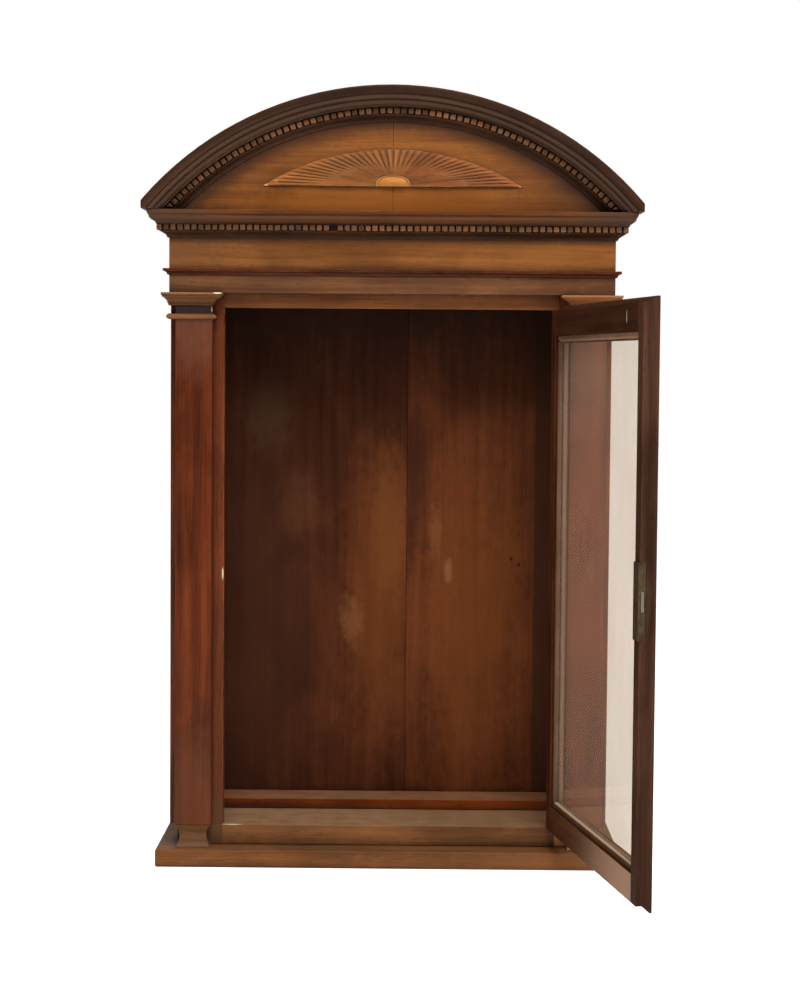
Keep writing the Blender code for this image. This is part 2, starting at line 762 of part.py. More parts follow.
def build_door_rails(pivot):
    """Rails between the stiles: the back of each end lies in the stile's rebate."""
    reach = DOOR_X - STILE_FACE - GAP
    shoulder = reach - REBATE_WIDTH
    for end, sign in (("bottom", 1), ("top", -1)):
        edge = DOOR_LOW_Z if end == "bottom" else DOOR_HIGH_Z
        inner = edge + sign * (RAIL_FACE + REBATE_WIDTH)
        rings = []
        for y, lip in door_levels():
            low, high = sorted((edge - sign * DOOR_LIP * lip, inner))
            rings.append(door_ring(y, -reach, reach, low, high))
        rail = loft(f"door_rail_{end}", rings, "dark", pivot)
        face = edge + sign * RAIL_FACE
        up = sorted((face, inner + sign * REBATE_WIDTH))
        deep = (GLASS_Y, DOOR_INSET + DOOR_EDGE)
        cutters = [door_box(f"rebate_{end}", (-reach - GAP, reach + GAP), deep, up, "dark", pivot)]
        tall = sorted((edge - sign * 2 * DOOR_LIP, inner + sign * REBATE_WIDTH))
        thin = (-DOOR_PROUD - DOOR_EDGE, GLASS_Y + GAP)
        for side, way in (("left", -1), ("right", 1)):
            across = sorted((way * shoulder, way * (reach + GAP)))
            cutters.append(door_box(f"shoulder_{end}_{side}", across, thin, tall, "dark", pivot))
        cut(rail, cutters)


def build_glazing(pivot):
    reach = DOOR_X - STILE_FACE - GAP
    low = DOOR_LOW_Z + RAIL_FACE + GAP
    high = DOOR_HIGH_Z - RAIL_FACE - GAP
    front = GLASS_Y + GAP
    back = front + GLASS_THICKNESS
    rings = [door_ring(y, -reach, reach, low, high) for y in (front, back)]
    loft("door_glass", rings, "glass", pivot)

    near = back + GAP
    far = near + BEAD_DEPTH
    shape = ((near, 0.0), (far - BEAD_CHAMFER, 0.0), (far, BEAD_CHAMFER))
    beads = {"bottom": [], "top": [], "hinge": [], "lock": []}
    side_low = low + BEAD_WIDTH + GAP
    side_high = high - BEAD_WIDTH - GAP
    for y, trim in shape:
        width = BEAD_WIDTH - trim
        beads["bottom"].append(door_ring(y, -reach, reach, low, low + width))
        beads["top"].append(door_ring(y, -reach, reach, high - width, high))
        beads["hinge"].append(door_ring(y, reach - width, reach, side_low, side_high))
        beads["lock"].append(door_ring(y, -reach, -reach + width, side_low, side_high))
    for place, rings in beads.items():
        loft(f"glazing_bead_{place}", rings, "dark", pivot)


def door_box(name, x, y, z, finish, pivot):
    """A box in the shut door, given in case coordinates across and depths from the face frame."""
    shift_y = FRONT_Y - PIN_Y
    return box(name, [v - PIN_X for v in x], [v + shift_y for v in y], z, finish, pivot)


def knuckle_arc(first, last):
    """Points round the hinge pin between two angles, from the pin's centre."""
    turns = [first + (last - first) * i / ROUND_SIDES for i in range(ROUND_SIDES + 1)]
    return [(KNUCKLE_RADIUS * math.cos(a), KNUCKLE_RADIUS * math.sin(a)) for a in turns]


def frame_leaf_outline():
    """Plan of the leaf on the frame and its knuckle, from the pin's centre."""
    inner = -PIN_SIDE
    outer = inner + LEAF_THICKNESS
    far = DOOR_PROUD + LEAF_DEPTH
    meet = math.pi - math.asin(LEAF_THICKNESS / KNUCKLE_RADIUS)
    if -outer < KNUCKLE_RADIUS:
        meet = min(meet, math.acos(outer / KNUCKLE_RADIUS))
    arc = knuckle_arc(meet, -math.pi)
    return [(inner, far), (outer, far), (outer, arc[0][1])] + arc + [(inner, 0.0)]


def door_leaf_outline():
    """Plan of the cranked leaf on the shut door and its barrel, from the pin's centre."""
    outer = -PIN_SIDE - DOOR_GAP
    inner = outer - LEAF_THICKNESS
    far = DOOR_PROUD + DOOR_INSET - GAP
    start = math.pi + math.asin(LEAF_THICKNESS / KNUCKLE_RADIUS)
    arc = knuckle_arc(start, 3 * math.pi)
    return [(inner, far), (inner, -LEAF_THICKNESS)] + arc + [(outer, 0.0), (outer, far)]


def build_hinge(name, centre_z, stile, door_stile, pivot):
    third = HINGE_LENGTH / 6
    low, high = centre_z - HINGE_LENGTH / 2, centre_z + HINGE_LENGTH / 2
    seat_y = KNUCKLE_RADIUS + PIN_CLEARANCE
    wide = (-PIN_SIDE - DOOR_GAP - LEAF_THICKNESS - CUT_MARGIN, KNUCKLE_RADIUS + CUT_MARGIN)
    deep = (-KNUCKLE_RADIUS - CUT_MARGIN, seat_y)

    outline = [(PIN_X + x, PIN_Y + y) for x, y in frame_leaf_outline()]
    rings = [[(x, y, z) for x, y in outline] for z in (low, high)]
    frame_leaf = loft(f"hinge_frame_leaf_{name}", rings, "brass")
    notch_x = [PIN_X + x for x in wide]
    notch_y = [PIN_Y + y for y in deep]
    notch_z = (centre_z - third - GAP, centre_z + third + GAP)
    cut(frame_leaf, [box(f"notch_{name}", notch_x, notch_y, notch_z, "brass")])
    join(frame_leaf, [cylinder(f"pin_{name}", PIN_X, PIN_Y, (low + GAP, high - GAP), PIN_RADIUS, "brass")])
    gain = box(
        f"frame_gain_{name}",
        (OPENING_X - GAP, OPENING_X + LEAF_THICKNESS + GAP),
        (FRONT_Y - GAP, FRONT_Y + LEAF_DEPTH + GAP),
        (low - GAP, high + GAP),
        "red",
    )
    cut(stile, [gain])

    outline = door_leaf_outline()
    rings = [[(x, y, z) for x, y in outline] for z in (low, high)]
    door_leaf = loft(f"hinge_door_leaf_{name}", rings, "brass", pivot)
    ends = ((low - CUT_MARGIN, centre_z - third), (centre_z + third, high + CUT_MARGIN))
    clear = [box(f"end_{name}_{i}", wide, deep, z, "brass", pivot) for i, z in enumerate(ends)]
    bore = cylinder(f"bore_{name}", 0, 0, (low, high), PIN_RADIUS + PIN_CLEARANCE, "brass", pivot)
    cut(door_leaf, clear + [bore])
    gain = door_box(
        f"door_gain_{name}",
        (DOOR_X - LEAF_THICKNESS - GAP, DOOR_X + GAP),
        (-DOOR_PROUD - GAP, DOOR_INSET + GAP),
        (low - GAP, high + GAP),
        "dark",
        pivot,
    )
    cut(door_stile, [gain])


def lock_span(length):
    """The lower and upper end of a length centred on the lock."""
    return LOCK_HEIGHT - length / 2, LOCK_HEIGHT + length / 2


def build_lock(door_stile, stile, pivot):
    edge = -DOOR_X
    inner_y = DOOR_INSET
    deep = STILE_FACE - CASE_WALL
    bolt_y = (inner_y - BOLT_FROM_INSIDE - BOLT_THICKNESS, inner_y - BOLT_FROM_INSIDE)
    pocket_y = bolt_y[0] - BOLT_FROM_INSIDE
    proud_y = inner_y + GAP + PLATE_THICKNESS
    lip_x = edge + SELVEDGE_THICKNESS
    plan = [
        (edge, pocket_y),
        (lip_x, pocket_y),
        (lip_x, inner_y + GAP),
        (edge + STILE_FACE, inner_y + GAP),
        (edge + STILE_FACE, proud_y),
        (edge, proud_y),
    ]
    shift_y = FRONT_Y - PIN_Y
    rings = [[(x - PIN_X, y + shift_y, z) for x, y in plan] for z in lock_span(PLATE_LENGTH)]
    lock = loft("lock_case", rings, "brass", pivot)
    case_x = (edge + SELVEDGE_THICKNESS / 2, edge + deep)
    case_y = (pocket_y + GAP, inner_y + 2 * GAP)
    join(lock, [door_box("case", case_x, case_y, lock_span(CASE_LENGTH), "brass", pivot)])
    way = door_box(
        "bolt_way",
        (edge - GAP, edge + BOLT_LENGTH + GAP),
        (bolt_y[0] - GAP, bolt_y[1] + GAP),
        lock_span(BOLT_HEIGHT + 2 * GAP),
        "brass",
        pivot,
    )
    cut(lock, [way])
    bolt_x = (edge, edge + BOLT_LENGTH)
    door_box("lock_bolt", bolt_x, bolt_y, lock_span(BOLT_HEIGHT), "steel", pivot)

    shallow = door_box(
        "selvedge_gain",
        (edge - GAP, edge + SELVEDGE_THICKNESS + GAP),
        (pocket_y - GAP, inner_y + GAP),
        lock_span(PLATE_LENGTH + 2 * GAP),
        "dark",
        pivot,
    )
    pocket = door_box(
        "lock_pocket",
        (edge - 2 * GAP, edge + deep + GAP),
        (pocket_y - GAP, inner_y + 2 * GAP),
        lock_span(CASE_LENGTH + 2 * GAP),
        "dark",
        pivot,
    )
    cut(door_stile, [shallow, pocket])
    keeper = box(
        "keeper_mortise",
        (-OPENING_X - BOLT_THROW, -OPENING_X + GAP),
        (FRONT_Y + bolt_y[0] - 2 * GAP, FRONT_Y + bolt_y[1] + 2 * GAP),
        lock_span(BOLT_HEIGHT + 4 * GAP),
        "red",
    )
    cut(stile, [keeper])


def build_escutcheon(pivot):
    """Oval plate with a keyhole on the front of the lock stile."""
    x = -DOOR_X + STILE_FACE / 2 - PIN_X
    back = -GAP
    front = back - ESCUTCHEON_THICKNESS
    rings = []
    for y in (front, back):
        ring = []
        for i in range(OVAL_SIDES):
            turn = 2 * math.pi * i / OVAL_SIDES
            across = ESCUTCHEON_WIDTH / 2 * math.cos(turn)
            up = ESCUTCHEON_LENGTH / 2 * math.sin(turn)
            ring.append((x + across, y, LOCK_HEIGHT + up))
        rings.append(ring)
    plate = loft("escutcheon", rings, "brass", pivot)
    outline = []
    waist = KEYHOLE_SLOT_WIDTH / 2
    reach = math.acos(waist / KEYHOLE_RADIUS)
    for i in range(KEYHOLE_STEPS + 1):
        turn = -reach + (math.pi + 2 * reach) * i / KEYHOLE_STEPS
        outline.append((KEYHOLE_RADIUS * math.cos(turn), KEYHOLE_RADIUS * math.sin(turn)))
    outline += [(-waist, -KEYHOLE_SLOT), (waist, -KEYHOLE_SLOT)]
    deep = (front - GAP, back + GAP)
    rings = [[(x + u, y, LOCK_HEIGHT + KEYHOLE_RADIUS + v) for u, v in outline] for y in deep]
    cut(plate, [loft("keyhole", rings, "brass", pivot)])


def build_door(stiles):
    pivot = bpy.data.objects.new("door_pivot", None)
    bpy.context.scene.collection.objects.link(pivot)
    pivot.location = Vector((PIN_X, PIN_Y, 0))
    pivot.rotation_euler = (0, 0, DOOR_REST_ANGLE)
    door_stiles = build_door_stiles(pivot)
    build_door_rails(pivot)
    build_glazing(pivot)
    heights = {"lower": DOOR_LOW_Z + HINGE_FROM_END, "upper": DOOR_HIGH_Z - HINGE_FROM_END}
    for name, centre_z in heights.items():
        build_hinge(name, centre_z, stiles["right"], door_stiles["hinge"], pivot)
    build_lock(door_stiles["lock"], stiles["left"], pivot)
    build_escutcheon(pivot)


def main():
    clear_scene()
    build_floor()
    build_carcase()
    stiles = build_face_frame()
    build_pilasters()
    build_entablature()
    build_arch()
    build_tympanum()
    build_fan()
    build_door(stiles)
    bpy.context.view_layer.update()


main()
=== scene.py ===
import json
import math
import random

import bmesh
import bpy
from mathutils import Matrix, Vector

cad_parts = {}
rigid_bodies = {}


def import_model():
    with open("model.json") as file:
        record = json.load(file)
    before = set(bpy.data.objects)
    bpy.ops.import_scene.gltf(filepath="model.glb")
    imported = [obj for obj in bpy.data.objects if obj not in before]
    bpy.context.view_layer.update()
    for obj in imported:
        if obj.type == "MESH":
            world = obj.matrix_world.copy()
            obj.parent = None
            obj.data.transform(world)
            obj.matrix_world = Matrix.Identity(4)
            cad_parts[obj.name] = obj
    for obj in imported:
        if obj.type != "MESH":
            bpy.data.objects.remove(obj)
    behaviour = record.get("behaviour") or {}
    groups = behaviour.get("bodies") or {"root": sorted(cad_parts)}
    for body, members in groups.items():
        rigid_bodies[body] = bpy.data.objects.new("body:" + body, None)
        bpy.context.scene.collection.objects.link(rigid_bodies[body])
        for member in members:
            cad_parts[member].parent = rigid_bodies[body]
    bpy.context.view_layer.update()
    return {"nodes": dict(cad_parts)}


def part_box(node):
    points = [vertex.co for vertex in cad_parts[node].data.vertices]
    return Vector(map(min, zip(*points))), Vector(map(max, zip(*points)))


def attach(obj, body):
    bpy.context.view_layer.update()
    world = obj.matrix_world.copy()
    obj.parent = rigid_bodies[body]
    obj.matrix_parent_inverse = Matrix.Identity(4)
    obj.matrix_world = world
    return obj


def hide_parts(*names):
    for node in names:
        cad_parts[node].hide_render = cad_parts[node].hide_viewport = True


for startupObject in list(bpy.data.objects):  # the cube, lamp and camera of a new file
    bpy.data.objects.remove(startupObject)
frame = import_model()
nodes = frame["nodes"]
doorAngle = math.radians(100)  # how far the door stands open at rest
print("frame:", len(nodes), "nodes")


# camera at the photograph's view

sensorWidth = 36
cameraView = dict(
    place=(0.0234, -2.5894, 0.5609),
    yaw=math.radians(-0.2933),
    pitch=math.radians(3.3277),
    roll=math.radians(0.4542),
    focal=2242.7 / 1000 * sensorWidth,  # from pixels, with 1000 of them on the long side
)


def placeCamera(view):
    yaw, pitch, roll = view["yaw"], view["pitch"], view["roll"]
    ahead = Vector((math.sin(yaw) * math.cos(pitch), math.cos(yaw) * math.cos(pitch), -math.sin(pitch)))
    right = Vector((math.cos(yaw), -math.sin(yaw), 0))
    up = right.cross(ahead)
    tiltedRight = math.cos(roll) * right + math.sin(roll) * up
    tiltedUp = -math.sin(roll) * right + math.cos(roll) * up
    lens = bpy.data.cameras.new("photoView")
    lens.lens = view["focal"]
    lens.sensor_width = sensorWidth
    camera = bpy.data.objects.new("photoView", lens)
    bpy.context.scene.collection.objects.link(camera)
    turn = Matrix((tiltedRight, tiltedUp, -ahead)).transposed()
    camera.matrix_world = Matrix.Translation(view["place"]) @ turn.to_4x4()
    bpy.context.scene.camera = camera


placeCamera(cameraView)
print("camera placed")


# light, floor and surroundings

white = (1, 1, 1, 1)
black = (0, 0, 0, 1)
studio = dict(
    front=0.13,  # strength of the surroundings on the camera's side
    back=0.50,
    above=0.34,
    frontToBack=(-0.6, 0.7),  # where the strength changes from front to back
    lowToHigh=(0.1, 0.9),
    floorColour=(0.93, 0.92, 0.91, 1),
    floorGlow=0.75,
    floorRough=0.9,
    floorReach=14,
    floorDrop=0.0004,  # how far the floor lies under the plinth
    throughGlass=(0.99, 0.925, 0.865, 1),  # the backdrop and the floor as the pane shows them
    mirrored=(0.05, 0.05, 0.05, 1),  # the floor's glow in reflections
)
lamps = (
    dict(name="keyLamp", place=(0.25, -1.9, 2.7), aim=(0, 0, 0.4), size=1.7, watts=105,
         colour=(1.0, 0.96, 0.90)),
    dict(name="rightLamp", place=(2.3, -1.1, 1.3), aim=(0.1, -0.1, 0.45), size=1.3, watts=20,
         colour=(1.0, 0.95, 0.88)),
)


def feed(tree, node, inputs):
    # sets inputs by name or number, each to a plain value or to what another node puts out
    for key, value in inputs.items():
        if isinstance(value, bpy.types.NodeSocket):
            tree.links.new(value, node.inputs[key])
        else:
            node.inputs[key].default_value = value


def put(tree, kind, inputs=None, **settings):
    node = tree.nodes.new(kind)
    for name, value in settings.items():
        setattr(node, name, value)
    feed(tree, node, inputs or {})
    return node


def calc(tree, operation, first, second=0.0, clamp=False):
    inputs = {0: first, 1: second}
    return put(tree, "ShaderNodeMath", inputs, operation=operation, use_clamp=clamp).outputs[0]


def times(tree, first, second):
    return calc(tree, "MULTIPLY", first, second)


def plus(tree, first, second):
    return calc(tree, "ADD", first, second)


def vectorCalc(tree, operation, first, second=(0, 0, 0)):
    node = put(tree, "ShaderNodeVectorMath", {0: first, 1: second}, operation=operation)
    return node.outputs["Value" if operation in ("DOT_PRODUCT", "LENGTH") else "Vector"]


def ramp(tree, value, low, high, start=0.0, end=1.0):
    inputs = dict(enumerate((value, low, high, start, end)))
    return put(tree, "ShaderNodeMapRange", inputs, interpolation_type="SMOOTHSTEP").outputs[0]


def blendColour(tree, share, first, second, way="MIX"):
    inputs = {0: share, 6: first, 7: second}
    node = put(tree, "ShaderNodeMix", inputs, data_type="RGBA", blend_type=way, clamp_factor=True)
    return node.outputs[2]


def rgba(colour):
    return (*colour, 1.0)


def newMaterial(name):
    material = bpy.data.materials.new(name)
    material.use_nodes = True
    return material, material.node_tree, material.node_tree.nodes["Principled BSDF"]


def lightStudio():
    world = bpy.data.worlds.new("studio")
    bpy.context.scene.world = world
    world.use_nodes = True
    tree = world.node_tree
    tree.nodes.clear()
    toward = put(tree, "ShaderNodeTexCoord").outputs["Generated"]
    axes = put(tree, "ShaderNodeSeparateXYZ", {"Vector": toward}).outputs
    level = ramp(tree, axes["Y"], *studio["frontToBack"], studio["front"], studio["back"])
    high = ramp(tree, axes["Z"], *studio["lowToHigh"])
    level = plus(tree, level, times(tree, high, studio["above"] - studio["front"]))
    soft = put(tree, "ShaderNodeBackground", {"Strength": level})
    # the backdrop itself shows plain white, and a little cream through the pane
    path = put(tree, "ShaderNodeLightPath").outputs
    plain = blendColour(tree, path["Is Transmission Ray"], white, studio["throughGlass"])
    backdrop = put(tree, "ShaderNodeBackground", {"Strength": 1.0, "Color": plain})
    seen = calc(tree, "MAXIMUM", path["Is Camera Ray"], path["Is Transmission Ray"])
    mixed = put(tree, "ShaderNodeMixShader", {0: seen, 1: soft.outputs[0], 2: backdrop.outputs[0]})
    put(tree, "ShaderNodeOutputWorld", {"Surface": mixed.outputs[0]})
    for lamp in lamps:
        data = bpy.data.lights.new(lamp["name"], "AREA")
        data.shape = "SQUARE"
        data.size = lamp["size"]
        data.energy = lamp["watts"]
        data.color = lamp["colour"]
        obj = bpy.data.objects.new(lamp["name"], data)
        obj.location = lamp["place"]
        aim = Vector(lamp["aim"]) - Vector(lamp["place"])
        obj.rotation_euler = aim.to_track_quat("-Z", "Y").to_euler()
        bpy.context.scene.collection.objects.link(obj)
    bpy.context.scene.view_settings.view_transform = "Standard"


def layFloor():
    mesh = bpy.data.meshes.new("studioFloor")
    reach = studio["floorReach"]
    corners = ((-reach, -reach), (reach, -reach), (reach, reach), (-reach, reach))
    mesh.from_pydata([(x, y, -studio["floorDrop"]) for x, y in corners], [], [(0, 1, 2, 3)])
    floor = bpy.data.objects.new("studioFloor", mesh)
    bpy.context.scene.collection.objects.link(floor)
    paper, tree, shader = newMaterial("paleFloor")
    path = put(tree, "ShaderNodeLightPath").outputs
    glow = blendColour(tree, path["Is Glossy Ray"], white, studio["mirrored"])
    cream = [part / studio["floorGlow"] for part in studio["throughGlass"]]
    feed(tree, shader, {
        "Base Color": blendColour(tree, path["Is Singular Ray"], studio["floorColour"], black),
        "Emission Color": blendColour(tree, path["Is Transmission Ray"], glow, cream),
        "Emission Strength": studio["floorGlow"],
        "Roughness": studio["floorRough"],
        "Specular IOR Level": 0.0,
    })
    mesh.materials.append(paper)


lightStudio()
layFloor()
print("studio lit")


# shared effects

def newGroup(name, inputs, outputs):
    tree = bpy.data.node_groups.new(name, "ShaderNodeTree")
    for label, start in inputs.items():
        kind = "NodeSocketVector" if isinstance(start, tuple) else "NodeSocketFloat"
        tree.interface.new_socket(label, in_out="INPUT", socket_type=kind).default_value = start
    for label in outputs:
        tree.interface.new_socket(label, in_out="OUTPUT", socket_type="NodeSocketFloat")
    return tree, tree.nodes.new("NodeGroupInput").outputs, tree.nodes.new("NodeGroupOutput")


def useGroup(tree, group, **inputs):
    return put(tree, "ShaderNodeGroup", inputs, node_tree=group).outputs


def noiseNode(tree, vector, across, along, detail, roughness=0.5, distortion=0.0):
    # a noise that is stretched along Z: the scales say how fine it is across and along
    scaled = put(tree, "ShaderNodeMapping", {"Vector": vector, "Scale": (across, across, along)})
    return put(tree, "ShaderNodeTexNoise", {
        "Vector": scaled.outputs[0], "Scale": 1.0, "Detail": detail, "Roughness": roughness,
        "Distortion": distortion,
    })


def noise(tree, vector, **look):
    return noiseNode(tree, vector, **look).outputs[0]


noiseMiddle = 0.5


def sway(tree, vector, **look):
    # a noise that swings about zero
    return calc(tree, "SUBTRACT", noise(tree, vector, **look), noiseMiddle)


def patches(tree, vector, low, high, **look):
    # soft patches, where the noise lies between low and high
    return ramp(tree, noise(tree, vector, **look), low, high)


grainLook = dict(
    shift=(3.17, 1.93, 7.1),  # how far a seed moves the grain
    wander=dict(across=14.0, along=3.0, detail=1.0),
    wanderReach=(0.02, 0.02, 0.0),
    bands=dict(across=95.0, along=2.2, detail=4.0, roughness=0.6, low=0.30, high=0.70),
    fibre=dict(across=560.0, along=13.0, detail=3.0, roughness=0.6, low=0.25, high=0.75),
    pores=dict(across=1500.0, along=70.0, detail=1.0, low=0.60, high=0.72),
    cloud=dict(across=17.0, along=8.0, detail=3.0, roughness=0.55, distortion=0.4, low=0.28, high=0.72),
)


def makeGrain():
    # bands, fibres, pores and cloudy figure of mahogany, with the grain along the vector's Z
    inputs = {"Vector": (0, 0, 0), "Seed": 0.0}
    tree, given, made = newGroup("mahoganyGrain", inputs, ("Bands", "Fibre", "Pores", "Cloud"))
    moves = [times(tree, given["Seed"], part) for part in grainLook["shift"]]
    shift = put(tree, "ShaderNodeCombineXYZ", dict(zip("XYZ", moves))).outputs[0]
    place = vectorCalc(tree, "ADD", given["Vector"], shift)
    drift = noiseNode(tree, place, **grainLook["wander"]).outputs["Color"]
    drift = vectorCalc(tree, "SUBTRACT", drift, (noiseMiddle, noiseMiddle, noiseMiddle))
    drift = vectorCalc(tree, "MULTIPLY", drift, grainLook["wanderReach"])
    bent = vectorCalc(tree, "ADD", place, drift)
    feed(tree, made, {
        "Bands": patches(tree, bent, **grainLook["bands"]),
        "Fibre": patches(tree, bent, **grainLook["fibre"]),
        "Pores": patches(tree, bent, **grainLook["pores"]),
        "Cloud": patches(tree, place, **grainLook["cloud"]),
    })
    return tree


edgeLook = dict(
    radius=0.0012,
    samples=4,
    turned=(0.995, 0.80),  # likeness of the rounded normal to the true one, from no pale edge to a full one
    broken=dict(across=150.0, along=60.0, detail=3.0, roughness=0.65, low=0.36, high=0.62),
)


def makePaleEdges():
    # how strongly an outer edge is pale, broken up by a noise: rubbed wear, and on wood a painted highlight
    # too
    inputs = {"Vector": (0, 0, 0), "Radius": edgeLook["radius"]}
    tree, given, made = newGroup("paleEdges", inputs, ("Mask",))
    rounded = put(tree, "ShaderNodeBevel", {"Radius": given["Radius"]}, samples=edgeLook["samples"])
    true = put(tree, "ShaderNodeNewGeometry").outputs["Normal"]
    alike = vectorCalc(tree, "DOT_PRODUCT", rounded.outputs[0], true)
    edge = ramp(tree, alike, *edgeLook["turned"])
    feed(tree, made, {"Mask": times(tree, edge, patches(tree, given["Vector"], **edgeLook["broken"]))})
    return tree


grimeAndShadeLook = dict(
    reach=0.012,
    samples=6,
    shut=(0.92, 0.30),  # how open a place is, from where grime and painted shade start to where they are full
    patchy=dict(across=90.0, along=50.0, detail=3.0, roughness=0.6),
    patchiness=0.35,
)


def makeGrimeAndShade():
    # dirt and old polish gathered in corners, together with painted shade: darker wherever ambient occlusion
    # finds surfaces close by
    inputs = {"Vector": (0, 0, 0), "Reach": grimeAndShadeLook["reach"]}
    tree, given, made = newGroup("cornerGrimeAndShade", inputs, ("Mask",))
    nearby = {"Distance": given["Reach"]}
    clear = put(tree, "ShaderNodeAmbientOcclusion", nearby, samples=grimeAndShadeLook["samples"]).outputs["AO"]
    patchy = times(tree, sway(tree, given["Vector"], **grimeAndShadeLook["patchy"]), grimeAndShadeLook["patchiness"])
    feed(tree, made, {"Mask": ramp(tree, plus(tree, clear, patchy), *grimeAndShadeLook["shut"])})
    return tree


spotLook = dict(reach=(0.01, 0.01, 0.01), ragged=0.8, core=0.25)
spotRag = dict(across=110.0, along=70.0, detail=4.0, roughness=0.65)


def makeWearAndLightSpot():
    # a soft-edged patch at a place on the surface, used for wear and stains and for painted light and shade
    inputs = {"Vector": (0, 0, 0), "Centre": (0, 0, 0), "Reach": spotLook["reach"],
              "Ragged": spotLook["ragged"], "Core": spotLook["core"]}
    tree, given, made = newGroup("wearAndLightSpot", inputs, ("Mask",))
    away = vectorCalc(tree, "SUBTRACT", given["Vector"], given["Centre"])
    far = vectorCalc(tree, "LENGTH", vectorCalc(tree, "DIVIDE", away, given["Reach"]))
    rag = times(tree, sway(tree, given["Vector"], **spotRag), given["Ragged"])
    feed(tree, made, {"Mask": ramp(tree, plus(tree, far, rag), 1.0, given["Core"])})
    return tree


dustLook = dict(
    colour=(0.27, 0.165, 0.095),
    upward=(0.55, 0.95),  # how far a face looks up, from the first dust to the most
    patchy=dict(across=45.0, along=45.0, detail=4.0, roughness=0.6),
    thickness=(0.25, 0.70, 0.55, 1.0),  # range of the noise, and the dust at its ends
)


def makeDust():
    # dust settled on faces that look up
    tree, given, made = newGroup("settledDust", {"Vector": (0, 0, 0)}, ("Mask",))
    facing = put(tree, "ShaderNodeNewGeometry").outputs["Normal"]
    upward = put(tree, "ShaderNodeSeparateXYZ", {"Vector": facing}).outputs["Z"]
    thick = ramp(tree, noise(tree, given["Vector"], **dustLook["patchy"]), *dustLook["thickness"])
    feed(tree, made, {"Mask": times(tree, ramp(tree, upward, *dustLook["upward"]), thick)})
    return tree


grainGroup = makeGrain()
edgeGroup = makePaleEdges()
grimeAndShadeGroup = makeGrimeAndShade()
spotGroup = makeWearAndLightSpot()
dustGroup = makeDust()
print("shared effects made")


# wood finishes: colours are of the light and dark bands, the pores, the pale edges (rubbed wear with a
# painted highlight) and the grime with painted shade in corners

